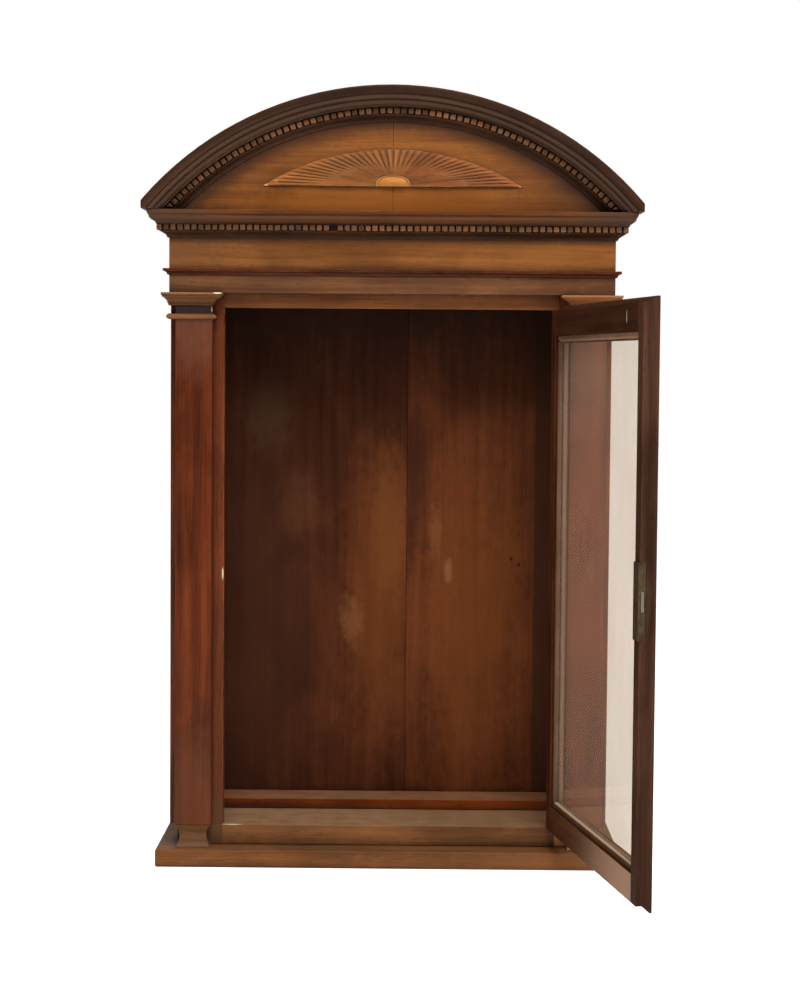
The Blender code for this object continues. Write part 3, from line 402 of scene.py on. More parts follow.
woods = {
    "golden": dict(
        light=(0.205, 0.076, 0.018), dark=(0.112, 0.037, 0.008), pore=(0.05, 0.018, 0.007),
        paleEdge=(0.40, 0.20, 0.075), grimeAndShade=(0.030, 0.012, 0.006),
        edgeWearAndHighlight=0.55, grimeAndShadeStrength=0.75, gloss=0.36, shine=0.10),
    "brown": dict(
        light=(0.150, 0.066, 0.024), dark=(0.080, 0.031, 0.011), pore=(0.035, 0.014, 0.006),
        paleEdge=(0.34, 0.19, 0.09), grimeAndShade=(0.022, 0.010, 0.006),
        edgeWearAndHighlight=0.55, grimeAndShadeStrength=0.75, gloss=0.38, shine=0.10),
    "red": dict(
        light=(0.128, 0.031, 0.008), dark=(0.052, 0.011, 0.0035), pore=(0.022, 0.007, 0.004),
        paleEdge=(0.30, 0.135, 0.060), grimeAndShade=(0.016, 0.007, 0.004),
        edgeWearAndHighlight=0.60, grimeAndShadeStrength=0.75, gloss=0.32, shine=0.10),
    "crown": dict(
        light=(0.046, 0.0185, 0.0082), dark=(0.017, 0.0066, 0.0032), pore=(0.012, 0.006, 0.004),
        paleEdge=(0.17, 0.095, 0.055), grimeAndShade=(0.010, 0.005, 0.004),
        edgeWearAndHighlight=0.60, grimeAndShadeStrength=0.75, gloss=0.38, shine=0.07),
    "inside": dict(
        light=(0.104, 0.029, 0.0100), dark=(0.062, 0.0155, 0.0055), pore=(0.020, 0.008, 0.004),
        paleEdge=(0.15, 0.065, 0.03), grimeAndShade=(0.010, 0.004, 0.003),
        edgeWearAndHighlight=0.25, grimeAndShadeStrength=0.60, gloss=0.58, shine=0.04),
    "door": dict(
        light=(0.060, 0.020, 0.009), dark=(0.026, 0.008, 0.004), pore=(0.012, 0.005, 0.004),
        paleEdge=(0.20, 0.11, 0.07), grimeAndShade=(0.010, 0.005, 0.004),
        edgeWearAndHighlight=0.45, grimeAndShadeStrength=0.60, gloss=0.42, shine=0.01),
    "dentil": dict(
        light=(0.165, 0.072, 0.030), dark=(0.090, 0.037, 0.015), pore=(0.05, 0.02, 0.01),
        paleEdge=(0.36, 0.20, 0.11), grimeAndShade=(0.022, 0.009, 0.005),
        edgeWearAndHighlight=0.40, grimeAndShadeStrength=0.80, gloss=0.45, shine=0.10),
    "fan": dict(
        light=(0.210, 0.077, 0.021), dark=(0.145, 0.050, 0.012), pore=(0.07, 0.025, 0.01),
        paleEdge=(0.50, 0.28, 0.12), grimeAndShade=(0.035, 0.013, 0.006),
        edgeWearAndHighlight=0.50, grimeAndShadeStrength=0.35, gloss=0.40, shine=0.12),
    "boss": dict(
        light=(0.470, 0.190, 0.036), dark=(0.360, 0.130, 0.022), pore=(0.12, 0.04, 0.012),
        paleEdge=(0.60, 0.36, 0.16), grimeAndShade=(0.05, 0.018, 0.007),
        edgeWearAndHighlight=0.40, grimeAndShadeStrength=0.55, gloss=0.36, shine=0.14),
    "seam": dict(
        light=(0.012, 0.006, 0.004), dark=(0.007, 0.004, 0.003), pore=(0.004, 0.003, 0.002),
        paleEdge=(0.02, 0.01, 0.006), grimeAndShade=(0.004, 0.002, 0.002),
        edgeWearAndHighlight=0.1, grimeAndShadeStrength=0.5, gloss=0.8, shine=0.02),
    "putty": dict(
        light=(0.460, 0.350, 0.240), dark=(0.320, 0.230, 0.150), pore=(0.16, 0.10, 0.06),
        paleEdge=(0.55, 0.42, 0.30), grimeAndShade=(0.06, 0.035, 0.02),
        edgeWearAndHighlight=0.30, grimeAndShadeStrength=0.55, gloss=0.70, shine=0.05),
    "rough": dict(
        light=(0.150, 0.085, 0.045), dark=(0.085, 0.043, 0.022), pore=(0.04, 0.02, 0.012),
        paleEdge=(0.25, 0.15, 0.085), grimeAndShade=(0.02, 0.012, 0.008),
        edgeWearAndHighlight=0.40, grimeAndShadeStrength=0.55, gloss=0.75, shine=0.05),
}

woodLook = dict(
    bands=0.7, fibre=0.3,  # shares of the change from the dark colour to the light one
    cloud=(0.72, 1.22),  # darkest and lightest of the cloudy figure
    pores=0.55,
    fibreRough=0.14, grimeRough=0.25, dustRough=0.4, spotRough=0.15,
    fibreRise=0.35, poreDepth=0.65, bump=0.22, bumpDepth=0.0004,
    facing=(0.2, 0.8),  # how far a face looks a spot's way, from none of the spot to all of it
)


def objectSpace(tree):
    return put(tree, "ShaderNodeTexCoord").outputs["Object"]


def alongGrain(tree, vector, direction):
    # turns the surface so that the grain's direction becomes Z
    turn = Vector(direction).rotation_difference(Vector((0, 0, 1))).to_euler()
    return put(tree, "ShaderNodeMapping", {"Vector": vector, "Rotation": turn}).outputs[0]


def roundArch(tree, vector):
    # bends the arch straight: Z runs round it and X across it
    axes = put(tree, "ShaderNodeSeparateXYZ", {"Vector": vector}).outputs
    rise = calc(tree, "SUBTRACT", axes["Z"], archCentre)
    squares = [calc(tree, "POWER", side, 2.0) for side in (axes["X"], rise)]
    across = calc(tree, "SQRT", plus(tree, *squares))
    around = times(tree, calc(tree, "ARCTAN2", axes["X"], rise), archRadius)
    return put(tree, "ShaderNodeCombineXYZ", {"X": across, "Y": axes["Y"], "Z": around}).outputs[0]


def finishWood(name, wood, direction=(0, 0, 1), bent=False, spots=(), tinted=False, dust=0.0,
               tone=(1, 1, 1), seed=None, corner=grimeAndShadeLook["reach"], edgeWearAndHighlight=None):
    look = woodLook
    material, tree, shader = newMaterial(name)
    vector = objectSpace(tree)
    grainVector = roundArch(tree, vector) if bent else alongGrain(tree, vector, direction)
    if seed is None:  # each piece has grain of its own
        seed = put(tree, "ShaderNodeObjectInfo").outputs["Random"]
    grain = useGroup(tree, grainGroup, Vector=grainVector, Seed=seed)
    share = plus(tree, times(tree, grain["Bands"], look["bands"]), times(tree, grain["Fibre"], look["fibre"]))
    dark, light = [rgba([c * t for c, t in zip(wood[k], tone)]) for k in ("dark", "light")]
    colour = blendColour(tree, share, dark, light)
    cloud = ramp(tree, grain["Cloud"], 0.0, 1.0, *look["cloud"])
    shade = put(tree, "ShaderNodeCombineColor", {"Red": cloud, "Green": cloud, "Blue": cloud}).outputs[0]
    colour = blendColour(tree, 1.0, colour, shade, "MULTIPLY")
    colour = blendColour(tree, times(tree, grain["Pores"], look["pores"]), colour, rgba(wood["pore"]))
    if tinted:  # each block of a row has its own tone
        toned = put(tree, "ShaderNodeAttribute", attribute_name="tone").outputs["Color"]
        colour = blendColour(tree, 1.0, colour, toned, "MULTIPLY")
    # pale edges: rubbed wear together with a painted highlight where an edge would catch light
    paleEdge = useGroup(tree, edgeGroup, Vector=grainVector)["Mask"]
    paleEdge = times(tree, paleEdge, edgeWearAndHighlight or wood["edgeWearAndHighlight"])
    colour = blendColour(tree, paleEdge, colour, rgba(wood["paleEdge"]))
    # grime and painted shade: corners, creases and places under other parts are darkened
    grimeAndShade = useGroup(tree, grimeAndShadeGroup, Vector=vector, Reach=corner)["Mask"]
    colour = blendColour(tree, times(tree, grimeAndShade, wood["grimeAndShadeStrength"]), colour, rgba(wood["grimeAndShade"]))
    smoothest = wood["gloss"] - look["fibreRough"] / 2
    roughness = plus(tree, times(tree, grain["Fibre"], look["fibreRough"]), smoothest)
    roughness = plus(tree, roughness, times(tree, grimeAndShade, look["grimeRough"]))
    if dust:
        settled = times(tree, useGroup(tree, dustGroup, Vector=vector)["Mask"], dust)
        colour = blendColour(tree, settled, colour, rgba(dustLook["colour"]))
        roughness = plus(tree, roughness, times(tree, settled, look["dustRough"]))
    for spot in spots:
        mask = useGroup(
            tree, spotGroup, Vector=grainVector if bent else vector, Centre=spot["centre"],
            Reach=spot["reach"], Ragged=spot["ragged"], Core=spot["core"])["Mask"]
        mask = times(tree, mask, spot["strength"])
        if spot["facing"]:  # only on faces that look this way
            outward = put(tree, "ShaderNodeTexCoord").outputs["Normal"]
            turned = vectorCalc(tree, "DOT_PRODUCT", outward, spot["facing"])
            mask = times(tree, mask, ramp(tree, turned, *look["facing"]))
        colour = blendColour(tree, mask, colour, rgba(spot["colour"]))
        roughness = plus(tree, roughness, times(tree, mask, look["spotRough"]))
    raised = times(tree, grain["Fibre"], look["fibreRise"])
    height = calc(tree, "SUBTRACT", raised, times(tree, grain["Pores"], look["poreDepth"]))
    relief = {"Strength": look["bump"], "Distance": look["bumpDepth"], "Height": height}
    feed(tree, shader, {
        "Base Color": colour,
        "Roughness": roughness,
        "Normal": put(tree, "ShaderNodeBump", relief).outputs[0],
        "Specular IOR Level": wood["shine"],
    })
    return material


# measures of the arch, read from the panel under it

panelLow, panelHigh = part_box("tympanum_left")
panelRise = panelHigh.z - panelLow.z
panelRadius = (panelLow.x ** 2 + panelRise ** 2) / (2 * panelRise)
archCentre = panelHigh.z - panelRadius
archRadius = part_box("arch_cornice")[1].z - archCentre


def dress(name, material):
    mesh = nodes[name].data
    mesh.materials.clear()
    mesh.materials.append(material)


softening = dict(weld=0.00002, flat=math.radians(0.6), corner=math.radians(32))


def soften(obj, width, steps=2):
    # joins the loose facets, rounds the edges a little and evens the shading
    mesh = obj.data
    for spare in ("sharp_edge", "custom_normal"):
        if spare in mesh.attributes:
            mesh.attributes.remove(mesh.attributes[spare])
    mesh.shade_smooth()
    weld = obj.modifiers.new("weld", "WELD")
    weld.merge_threshold = softening["weld"]
    flat = obj.modifiers.new("flat", "DECIMATE")
    flat.decimate_type = "DISSOLVE"
    flat.angle_limit = softening["flat"]
    if width:
        bevel = obj.modifiers.new("softEdge", "BEVEL")
        bevel.width = width
        bevel.segments = steps
        bevel.limit_method = "ANGLE"
        bevel.angle_limit = softening["corner"]
    even = obj.modifiers.new("even", "WEIGHTED_NORMAL")
    even.keep_sharp = True


sides = (1, 0, 0)
upright = (0, 0, 1)
deep = (0, 1, 0)
doorAcross = (math.cos(doorAngle), math.sin(doorAngle), 0)  # along the open door's rails
doorInside = (-math.sin(doorAngle), math.cos(doorAngle), 0)  # out of its inner face

# what each CAD piece is finished with: wood, grain direction and edge rounding in millimetres
dressing = {
    "plinth_board": ("brown", sides, 0.0), "bottom_board": ("brown", sides, 0.9),
    "rear_ledge": ("inside", sides, 0.0), "side_panel_left": ("red", upright, 0.6),
    "side_panel_right": ("red", upright, 0.6), "side_lining_left": ("inside", upright, 0.4),
    "side_lining_right": ("inside", upright, 0.4), "ceiling_board": ("inside", sides, 0.4),
    "back_board_left": ("inside", upright, 0.5), "back_board_right": ("inside", upright, 0.5),
    "stile_left": ("red", upright, 0.7), "stile_right": ("red", upright, 0.7),
    "head_rail": ("brown", sides, 0.6), "pilaster_shaft_left": ("red", upright, 0.4),
    "pilaster_shaft_right": ("red", upright, 0.4), "pilaster_base_left": ("brown", sides, 0.4),
    # the right base and capital take the lighter golden wood: painted light
    "pilaster_base_right": ("golden", sides, 0.4), "astragal_left": ("brown", sides, 0.3),
    "astragal_right": ("red", sides, 0.3), "capital_left": ("brown", sides, 0.3),
    "capital_right": ("golden", sides, 0.3), "architrave_board": ("brown", sides, 0.6),
    "frieze_board": ("golden", sides, 0.5), "string_moulding_front": ("red", sides, 0.25),
    "string_moulding_left": ("red", deep, 0.25), "string_moulding_right": ("red", deep, 0.25),
    "bed_moulding_front": ("crown", sides, 0.25), "bed_moulding_left": ("crown", deep, 0.25),
    "bed_moulding_right": ("crown", deep, 0.25), "cornice_front": ("crown", sides, 0.35),
    "cornice_left": ("crown", deep, 0.35), "cornice_right": ("crown", deep, 0.35),
    "arch_cornice": ("crown", "arch", 0.35), "arch_bed_moulding": ("crown", "arch", 0.25),
    "tympanum_left": ("golden", sides, 0.3), "tympanum_right": ("golden", sides, 0.3),
    "dust_board": ("rough", sides, 0.8), "pediment_batten": ("rough", sides, 0.8),
    "fan_carving": ("golden", sides, 0.0), "fan_boss": ("golden", sides, 0.0),
    "dentil_strip_front": ("brown", sides, 0.3), "dentil_strip_left": ("brown", deep, 0.3),
    "dentil_strip_right": ("brown", deep, 0.3), "arch_dentil_band": ("brown", "arch", 0.3),
    "door_stile_hinge": ("door", upright, 0.6), "door_stile_lock": ("door", upright, 0.6),
    "door_rail_top": ("door", doorAcross, 0.6), "door_rail_bottom": ("door", doorAcross, 0.6),
    "glazing_bead_top": ("putty", doorAcross, 0.3), "glazing_bead_bottom": ("putty", doorAcross, 0.3),
    "glazing_bead_hinge": ("putty", upright, 0.3), "glazing_bead_lock": ("door", upright, 0.3),
}


# marks that single pieces carry: tones, dust and spots
everywhere = 2.0  # reach of a spot that runs right across a piece
skin = 0.008  # reach of a spot that stays on one face of a board
pale = (0.72, 0.60, 0.46)
shadow = (0.014, 0.006, 0.004)
stringTone = (0.62, 0.60, 0.60)
bedTone = (0.95, 0.88, 0.70)
bedWidth = 0.0073
shadeWidth = 0.021
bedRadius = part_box("arch_bed_moulding")[1].z - archCentre - bedWidth  # edge of the moulding round the panel
shadeRadius = bedRadius - shadeWidth
backFace = 0.084  # front of the back boards


def mark(centre, reach, colour, strength, ragged=spotLook["ragged"], core=spotLook["core"], facing=None):
    # a spot of another colour: full within the core's share of its reach, with a ragged edge
    return dict(centre=centre, reach=reach, colour=colour, strength=strength, ragged=ragged, core=core,
                facing=facing)


def band(height, reach, colour, strength, ragged=0.1, **more):
    # a level stripe round a piece
    return mark((0, 0, height), (everywhere, everywhere, reach), colour, strength, ragged, **more)


def ring(radius, reach, colour, strength, ragged=0.1):
    # a stripe that follows the arch, in the space of roundArch
    return mark((radius, 0, 0), (reach, everywhere, everywhere), colour, strength, ragged)


def backMark(x, z, wide, tall, colour, strength, **more):
    return mark((x, backFace, z), (wide, skin, tall), colour, strength, **more)


topShade = backMark(0, 0.700, everywhere, 0.21, shadow, 0.90, ragged=0.35)
tympanumLightAndShade = (
    # painted light: a lighter, more orange pool on the lower panel
    mark((0, -0.083, 0.740), (0.25, skin, 0.034), (0.215, 0.063, 0.005), 0.65),
    # darker towards the upper right
    mark((0.24, -0.083, 0.79), (0.19, skin, 0.11), (0.050, 0.018, 0.007), 0.43),
    mark((0, -0.083, archCentre), (shadeRadius, everywhere, shadeRadius), (0.026, 0.011, 0.006), 0.80,
         ragged=0.03, core=bedRadius / shadeRadius),  # shade under the arch
)
tympanumTouch = dict(tone=(0.88, 0.85, 0.82), seed=0.37, spots=tympanumLightAndShade)
corniceShadeBands = (
    # painted shade across the cornice's profile: a grey-brown band, a dark line under the top fillet and
    # painted shadow along the bottom
    band(0.7262, 0.0030, (0.085, 0.052, 0.034), 0.35),
    band(0.7303, 0.0016, (0.030, 0.010, 0.006), 0.65),
    band(0.7208, 0.0024, shadow, 0.85),
)
# painted shade: the front cornice darker towards both ends
corniceEndShade = [
    mark((x, -0.11, 0.728), (0.13, everywhere, everywhere), (0.052, 0.029, 0.018), 0.75, ragged=0.3, core=0.1)
    for x in (-0.285, 0.285)
]
# painted shade on the neck of each shaft, under the capital
neckShade = band(0.6265, 0.0062, (0.012, 0.011, 0.008), 0.90, core=0.6)
# painted highlight along the top fillet of the capitals
filletHighlight = band(0.6438, 0.0012, (0.27, 0.16, 0.085), 0.55, 0.5)
touches = {
    "architrave_board": dict(tone=(0.86, 0.82, 0.90)),
    "head_rail": dict(tone=(1.20, 0.98, 0.84)),
    "capital_left": dict(tone=(0.82, 0.70, 0.60), spots=(
        filletHighlight,
        # painted shade: a dark line low on the capital
        band(0.6330, 0.0026, (0.030, 0.014, 0.008), 0.6),
        mark((-0.1935, -0.095, 0.6443), (0.0058, 0.006, 0.0011), pale, 0.9, ragged=0.3, core=0.6),
    )),
    # painted light: the right capital brighter, as if lit more strongly from the right
    "capital_right": dict(tone=(1.32, 1.20, 1.55), spots=(filletHighlight,)),
    # painted highlight: the left astragal lighter, with stronger pale edges
    "astragal_left": dict(tone=(1.25, 1.20, 1.20), edgeWearAndHighlight=0.8),
    "pilaster_base_left": dict(tone=(0.98, 1.08, 1.18)),
    # painted light: the right base made much brighter
    "pilaster_base_right": dict(tone=(2.00, 1.75, 1.90)),
    "pilaster_shaft_left": dict(tone=(0.93, 0.78, 0.60), edgeWearAndHighlight=0.85, corner=0.004, spots=(
        mark((-0.221, -0.083, 0.620), (0.06, 0.06, 0.09), (0.120, 0.052, 0.032), 0.40),
        mark((-0.221, -0.083, 0.070), (0.06, 0.06, 0.12), (0.130, 0.046, 0.018), 0.35),
        neckShade,
        mark((-0.2003, -0.083, 0.6265), (0.0013, 0.004, 0.0050), pale, 0.8, ragged=0.2),
    )),
    "pilaster_shaft_right": dict(tone=(1.05, 0.95, 0.80), spots=(
        mark((0.221, -0.083, 0.600), (0.06, 0.06, 0.15), (0.50, 0.38, 0.30), 0.09),
        neckShade,
    )),
    "stile_left": dict(edgeWearAndHighlight=0.85, corner=0.004, spots=(
        mark((-0.1893, -0.064, 0.3290), (0.0012, 0.004, 0.0085), pale, 0.65, ragged=0.3, core=0.5),
        # painted shade at the foot of the stile, beside the base
        mark((-0.195, -0.064, 0.040), (0.03, 0.03, 0.06), (0.075, 0.036, 0.016), 0.6),
    )),
    # painted light: the right stile made about twice as bright as the left one
    "stile_right": dict(tone=(1.8, 1.9, 2.0)),
    **{"string_moulding_" + side: dict(tone=stringTone) for side in ("front", "left", "right")},
    **{"bed_moulding_" + side: dict(tone=bedTone) for side in ("front", "left", "right")},
    "cornice_front": dict(dust=0.12, tone=(3.1, 2.45, 1.25), spots=(*corniceShadeBands, *corniceEndShade)),
    **{"cornice_" + side: dict(tone=(1.9, 1.3, 0.8), spots=corniceShadeBands) for side in ("left", "right")},
    "arch_cornice": dict(dust=0.15, tone=(1.04, 1.10, 1.12), corner=0.005, spots=(
        # painted highlights on the steps just inside each quirk
        ring(archRadius - 0.0122, 0.0024, (0.080, 0.045, 0.030), 0.50),
        ring(archRadius - 0.0185, 0.0024, (0.095, 0.055, 0.038), 0.55),
        ring(archRadius - 0.0097, 0.0009, shadow, 0.80),  # painted shade in the two quirks between the steps
        ring(archRadius - 0.0154, 0.0009, shadow, 0.80),
    )),
    "door_stile_hinge": dict(tone=(1.2, 1.1, 0.9), spots=(
        mark((0.1975, -0.1030, 0.33), (0.0075, 0.0035, everywhere), (0.160, 0.075, 0.045), 0.9,
             ragged=0.1),  # inner edge of the rebate, seen through the glass
    )),
    "door_stile_lock": dict(tone=(1.05, 1.40, 1.85), spots=(
        band(0.045, 0.20, (0.022, 0.010, 0.006), 0.60, 0.4, core=0.0),
        mark((0.2495, -0.447, 0.340), (0.0068, 0.012, 0.0395), (0.060, 0.044, 0.024), 0.40,
             ragged=0.3, core=0.4),  # tarnish beside the lock
    )),
    "door_rail_top": dict(tone=(0.85, 0.96, 1.07), spots=(
        mark((0.2325, -0.388, 0.6145), (0.010, 0.0028, 0.0100), (0.50, 0.42, 0.35), 0.5, ragged=0.9),
    )),
    "door_rail_bottom": dict(tone=(1.35, 1.45, 1.3), spots=(
        mark((0.245, -0.455, 0.05), (0.9, 0.285, 0.9), (0.285, 0.172, 0.112), 0.93,
             ragged=0.1, core=0.15, facing=doorInside),
    )),
    "glazing_bead_top": dict(tone=(0.55, 0.39, 0.34)),
    "glazing_bead_bottom": dict(tone=(0.20, 0.110, 0.055), spots=(
        band(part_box("glazing_bead_bottom")[1].z, 0.0014, (0.42, 0.29, 0.20), 0.9, core=0.5),
    )),
    "glazing_bead_hinge": dict(tone=(0.25, 0.175, 0.165)),
    # painted shade: both linings darker, the right one most
    "side_lining_left": dict(tone=(0.6, 0.6, 0.65)),
    "side_lining_right": dict(tone=(0.3, 0.3, 0.4)),
    "frieze_board": dict(tone=(0.95, 0.95, 0.95), spots=(
        # painted shade: darker towards the left end
        mark((-0.27, -0.083, 0.71), (0.17, 0.05, 0.1), (0.075, 0.033, 0.014), 0.50),
        # painted light: a lighter golden patch right of the middle
        mark((0.16, -0.083, 0.700), (0.15, 0.05, 0.06), (0.250, 0.092, 0.020), 0.25),
        # painted shadow along the top, under the bed moulding
        band(0.7080, 0.0110, (0.030, 0.014, 0.007), 0.75, 0.4),
    )),
    **{"tympanum_" + side: tympanumTouch for side in ("left", "right")},
    "bottom_board": dict(dust=0.75, tone=(1.30, 1.20, 1.05), spots=(
        mark((-0.2158, -0.064, 0.030), (0.0275, 0.006, everywhere), (0.075, 0.036, 0.016), 0.85,
             ragged=0.0, core=0.97),  # feet of the stiles: painted shade at the left foot, painted light at the right one
        mark((0.2158, -0.064, 0.030), (0.0275, 0.006, everywhere), (0.34, 0.14, 0.045), 0.85,
             ragged=0.0, core=0.97),
        mark((-0.178, -0.064, 0.0430), (0.015, 0.003, 0.0014), pale, 0.5, ragged=0.4),
    )),
    "plinth_board": dict(dust=0.16, tone=(0.98, 0.84, 0.64), spots=(
        # painted light: the plinth brighter towards the right
        mark((0.27, -0.1, 0.01), (0.32, everywhere, everywhere), (0.190, 0.076, 0.025), 0.40),
        # pale worn top edge, with a painted highlight along it
        mark((-0.200, -0.121, 0.0196), (0.11, 0.006, 0.0022), (0.30, 0.20, 0.13), 0.55, ragged=0.9),
    )),
    "rear_ledge": dict(dust=0.5, tone=(1.66, 1.28, 0.68), spots=(
        # painted shade: the ledge darker towards the left
        mark((-0.2, 0.03, 0.045), (0.22, 0.02, 0.009), (0.030, 0.012, 0.007), 0.7),
    )),
    "dust_board": dict(dust=0.6),
    # painted shade: the ceiling board at half brightness
    "ceiling_board": dict(tone=(0.5, 0.5, 0.5)),
    "back_board_right": dict(tone=(0.95, 0.95, 0.92), spots=(
        # painted light: a warm pool low on the right board
        backMark(0.098, 0.260, 0.095, 0.29, (0.150, 0.043, 0.010), 0.42, ragged=1.2),
        backMark(0.031, 0.440, 0.016, 0.090, (0.030, 0.012, 0.007), 0.45),
        backMark(0.052, 0.369, 0.010, 0.042, (0.240, 0.100, 0.038), 0.24, ragged=1.4),
        backMark(0.068, 0.322, 0.008, 0.020, (0.300, 0.160, 0.075), 0.26, ragged=1.4),
        backMark(0.143, 0.336, 0.0032, 0.0032, shadow, 0.9, ragged=0.3),
        backMark(0.152, 0.329, 0.0028, 0.0034, shadow, 0.8, ragged=0.3),
        # shade of the stile
        backMark(0.219, 0.330, 0.050, everywhere, (0.034, 0.014, 0.007), 0.78, ragged=0.01, core=0.955),
        topShade,
    )),
    # painted shade: the left board darker overall, and darker still low at the left
    "back_board_left": dict(tone=(0.66, 0.66, 0.70), spots=(
        backMark(-0.175, 0.250, 0.120, 0.38, (0.034, 0.012, 0.007), 0.64),
        # painted light: the warm pool reaching over the seam
        backMark(-0.012, 0.290, 0.060, 0.26, (0.160, 0.046, 0.011), 0.40, ragged=0.7),
        backMark(-0.002, 0.370, 0.030, 0.130, (0.230, 0.085, 0.022), 0.20, ragged=0.9),
        backMark(-0.046, 0.263, 0.020, 0.040, (0.230, 0.105, 0.040), 0.26, ragged=1.5),
        backMark(-0.148, 0.508, 0.042, 0.065, (0.085, 0.045, 0.024), 0.34, ragged=1.3),
        backMark(-0.110, 0.400, 0.036, 0.060, (0.110, 0.046, 0.020), 0.22, ragged=1.5),
        topShade,
    )),
}


def dressBoards():
    made = {}
    for name, (wood, direction, edge) in dressing.items():
        touch = touches.get(name, {})
        key = name if touch else (wood, direction)
        if key not in made:
            bent = direction == "arch"
            made[key] = finishWood(wood + "Wood", woods[wood], sides if bent else direction, bent, **touch)
        dress(name, made[key])
        soften(nodes[name], edge / 1000)


dressBoards()
print("boards dressed")


# metal

metals = {
    "brass": dict(bright=(0.19, 0.125, 0.060), dull=(0.036, 0.022, 0.011), rough=0.46, metallic=0.7),
    "steel": dict(bright=(0.38, 0.34, 0.29), dull=(0.20, 0.175, 0.14), rough=0.36, metallic=0.9),
}
metalLook = dict(
    tarnish=dict(across=160.0, along=160.0, detail=4.0, roughness=0.65, low=0.30, high=0.62),
    cleanShare=0.35,  # how bright the metal is between the tarnish
    edge=0.0006,
    brushed=dict(across=1800.0, along=40.0, detail=2.0),
    brushedRough=0.2, bump=0.1, bumpDepth=0.0002,
)


def finishMetal(name, metal):
    look = metalLook
    material, tree, shader = newMaterial(name)
    vector = objectSpace(tree)
    clean = times(tree, patches(tree, vector, **look["tarnish"]), look["cleanShare"])
    paleEdge = useGroup(tree, edgeGroup, Vector=vector, Radius=look["edge"])["Mask"]
    bright = calc(tree, "MAXIMUM", clean, paleEdge)
    brushed = noise(tree, vector, **look["brushed"])
    smoothest = metal["rough"] - look["brushedRough"] / 2
    relief = {"Strength": look["bump"], "Distance": look["bumpDepth"], "Height": brushed}
    feed(tree, shader, {
        "Base Color": blendColour(tree, bright, rgba(metal["dull"]), rgba(metal["bright"])),
        "Roughness": plus(tree, times(tree, brushed, look["brushedRough"]), smoothest),
        "Normal": put(tree, "ShaderNodeBump", relief).outputs[0],
        "Metallic": metal["metallic"],
    })
    return material


brassPieces = (
    "hinge_frame_leaf_upper", "hinge_frame_leaf_lower", "hinge_door_leaf_upper", "hinge_door_leaf_lower",
    "lock_case", "escutcheon",
)
brassFinish = finishMetal("tarnishedBrass", metals["brass"])
steelFinish = finishMetal("rubbedSteel", metals["steel"])
for name in brassPieces:
    dress(name, brassFinish)
    soften(nodes[name], width=0.0002)
dress("lock_bolt", steelFinish)
soften(nodes["lock_bolt"], width=0.0006, steps=3)
print("metal dressed")


# old window glass with a film of dust

pane = dict(
    colour=(1.0, 0.945, 0.87), smeared=(0.955, 0.875, 0.78), clear=1.0, ior=1.3, rough=0.0,
    passing=0.92,  # share of the lamps' light that comes straight through
    haze=0.15, hazeRough=0.45, hazeColour=(1.0, 0.86, 0.70),
    smear=dict(across=30.0, along=12.0, detail=1.0, roughness=0.4, low=0.3, high=0.8),
    wave=dict(across=22.0, along=9.0, detail=1.0),
    bump=0.003, bumpDepth=0.001,
)


def finishGlass():
    material, tree, shader = newMaterial("oldGlass")
    vector = objectSpace(tree)
    smear = patches(tree, vector, **pane["smear"])
    wave = noise(tree, vector, **pane["wave"])
    relief = {"Strength": pane["bump"], "Distance": pane["bumpDepth"], "Height": wave}
    path = put(tree, "ShaderNodeLightPath").outputs  # the pane lets light through, straight and scattered
    passed = plus(tree, times(tree, path["Is Shadow Ray"], pane["passing"]), path["Is Diffuse Ray"])
    feed(tree, shader, {
        "Base Color": blendColour(tree, smear, rgba(pane["colour"]), rgba(pane["smeared"])),
        "Normal": put(tree, "ShaderNodeBump", relief).outputs[0],
        "Alpha": calc(tree, "SUBTRACT", 1.0, passed, clamp=True),
        "Sheen Weight": pane["haze"],  # dust shows most along the pane
        "Sheen Roughness": pane["hazeRough"],
        "Sheen Tint": rgba(pane["hazeColour"]),
        "Roughness": pane["rough"],
        "IOR": pane["ior"],
        "Transmission Weight": pane["clear"],
    })
    return material


dress("door_glass", finishGlass())
print("glass dressed")


# finer pieces in place of the plain CAD ones

def addPiece(name, points, faces, material, body, tones=None, sharp=35):
    mesh = bpy.data.meshes.new(name)
    mesh.from_pydata(points, [], faces)
    if tones:
        layer = mesh.attributes.new("tone", "FLOAT_COLOR", "POINT")
        layer.data.foreach_set("color", [part for tone in tones for part in rgba(tone)])
    shape = bmesh.new()
    shape.from_mesh(mesh)
    bmesh.ops.recalc_face_normals(shape, faces=shape.faces)
    shape.to_mesh(mesh)
    shape.free()
    mesh.shade_smooth()
    mesh.set_sharp_from_angle(angle=math.radians(sharp))
    mesh.materials.append(material)
    piece = bpy.data.objects.new(name, mesh)
    bpy.context.scene.collection.objects.link(piece)
    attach(piece, body)
    return piece


dentilCut = dict(
    width=0.0060, pitch=0.00777, depth=0.0060, archHeight=0.0069,
    bury=0.0008,  # how far a block goes into the strip behind it
    soft=0.0006, softShare=(0.8, 1.6), slack=0.00025, worn=0.0005,
    clear=0.0004,  # how much lower a block is than the strip
    back=0.0003,  # how far it stands behind the front of the CAD strip
    stripStep=0.006,
    # the ground tone paints shade on the strip between the blocks
    ground=(0.24, 0.17, 0.13), grey=(0.90, 0.98, 1.12), orange=(1.14, 0.98, 0.72),
    warmth=(0.45, 0.35),  # middle and spread of the change from grey to orange
    level=(0.80, 1.20), dull=0.5, dullShare=0.07,
    endPower=4, endLift=3,  # the ground grows paler near the ends of a fading row
    lostBlock=25, dullBlocks=(30, 33, 36), frontFade=0.25, archFade=0.5,
    frontSeed=5, returnSeed=9, archSeed=17,
)


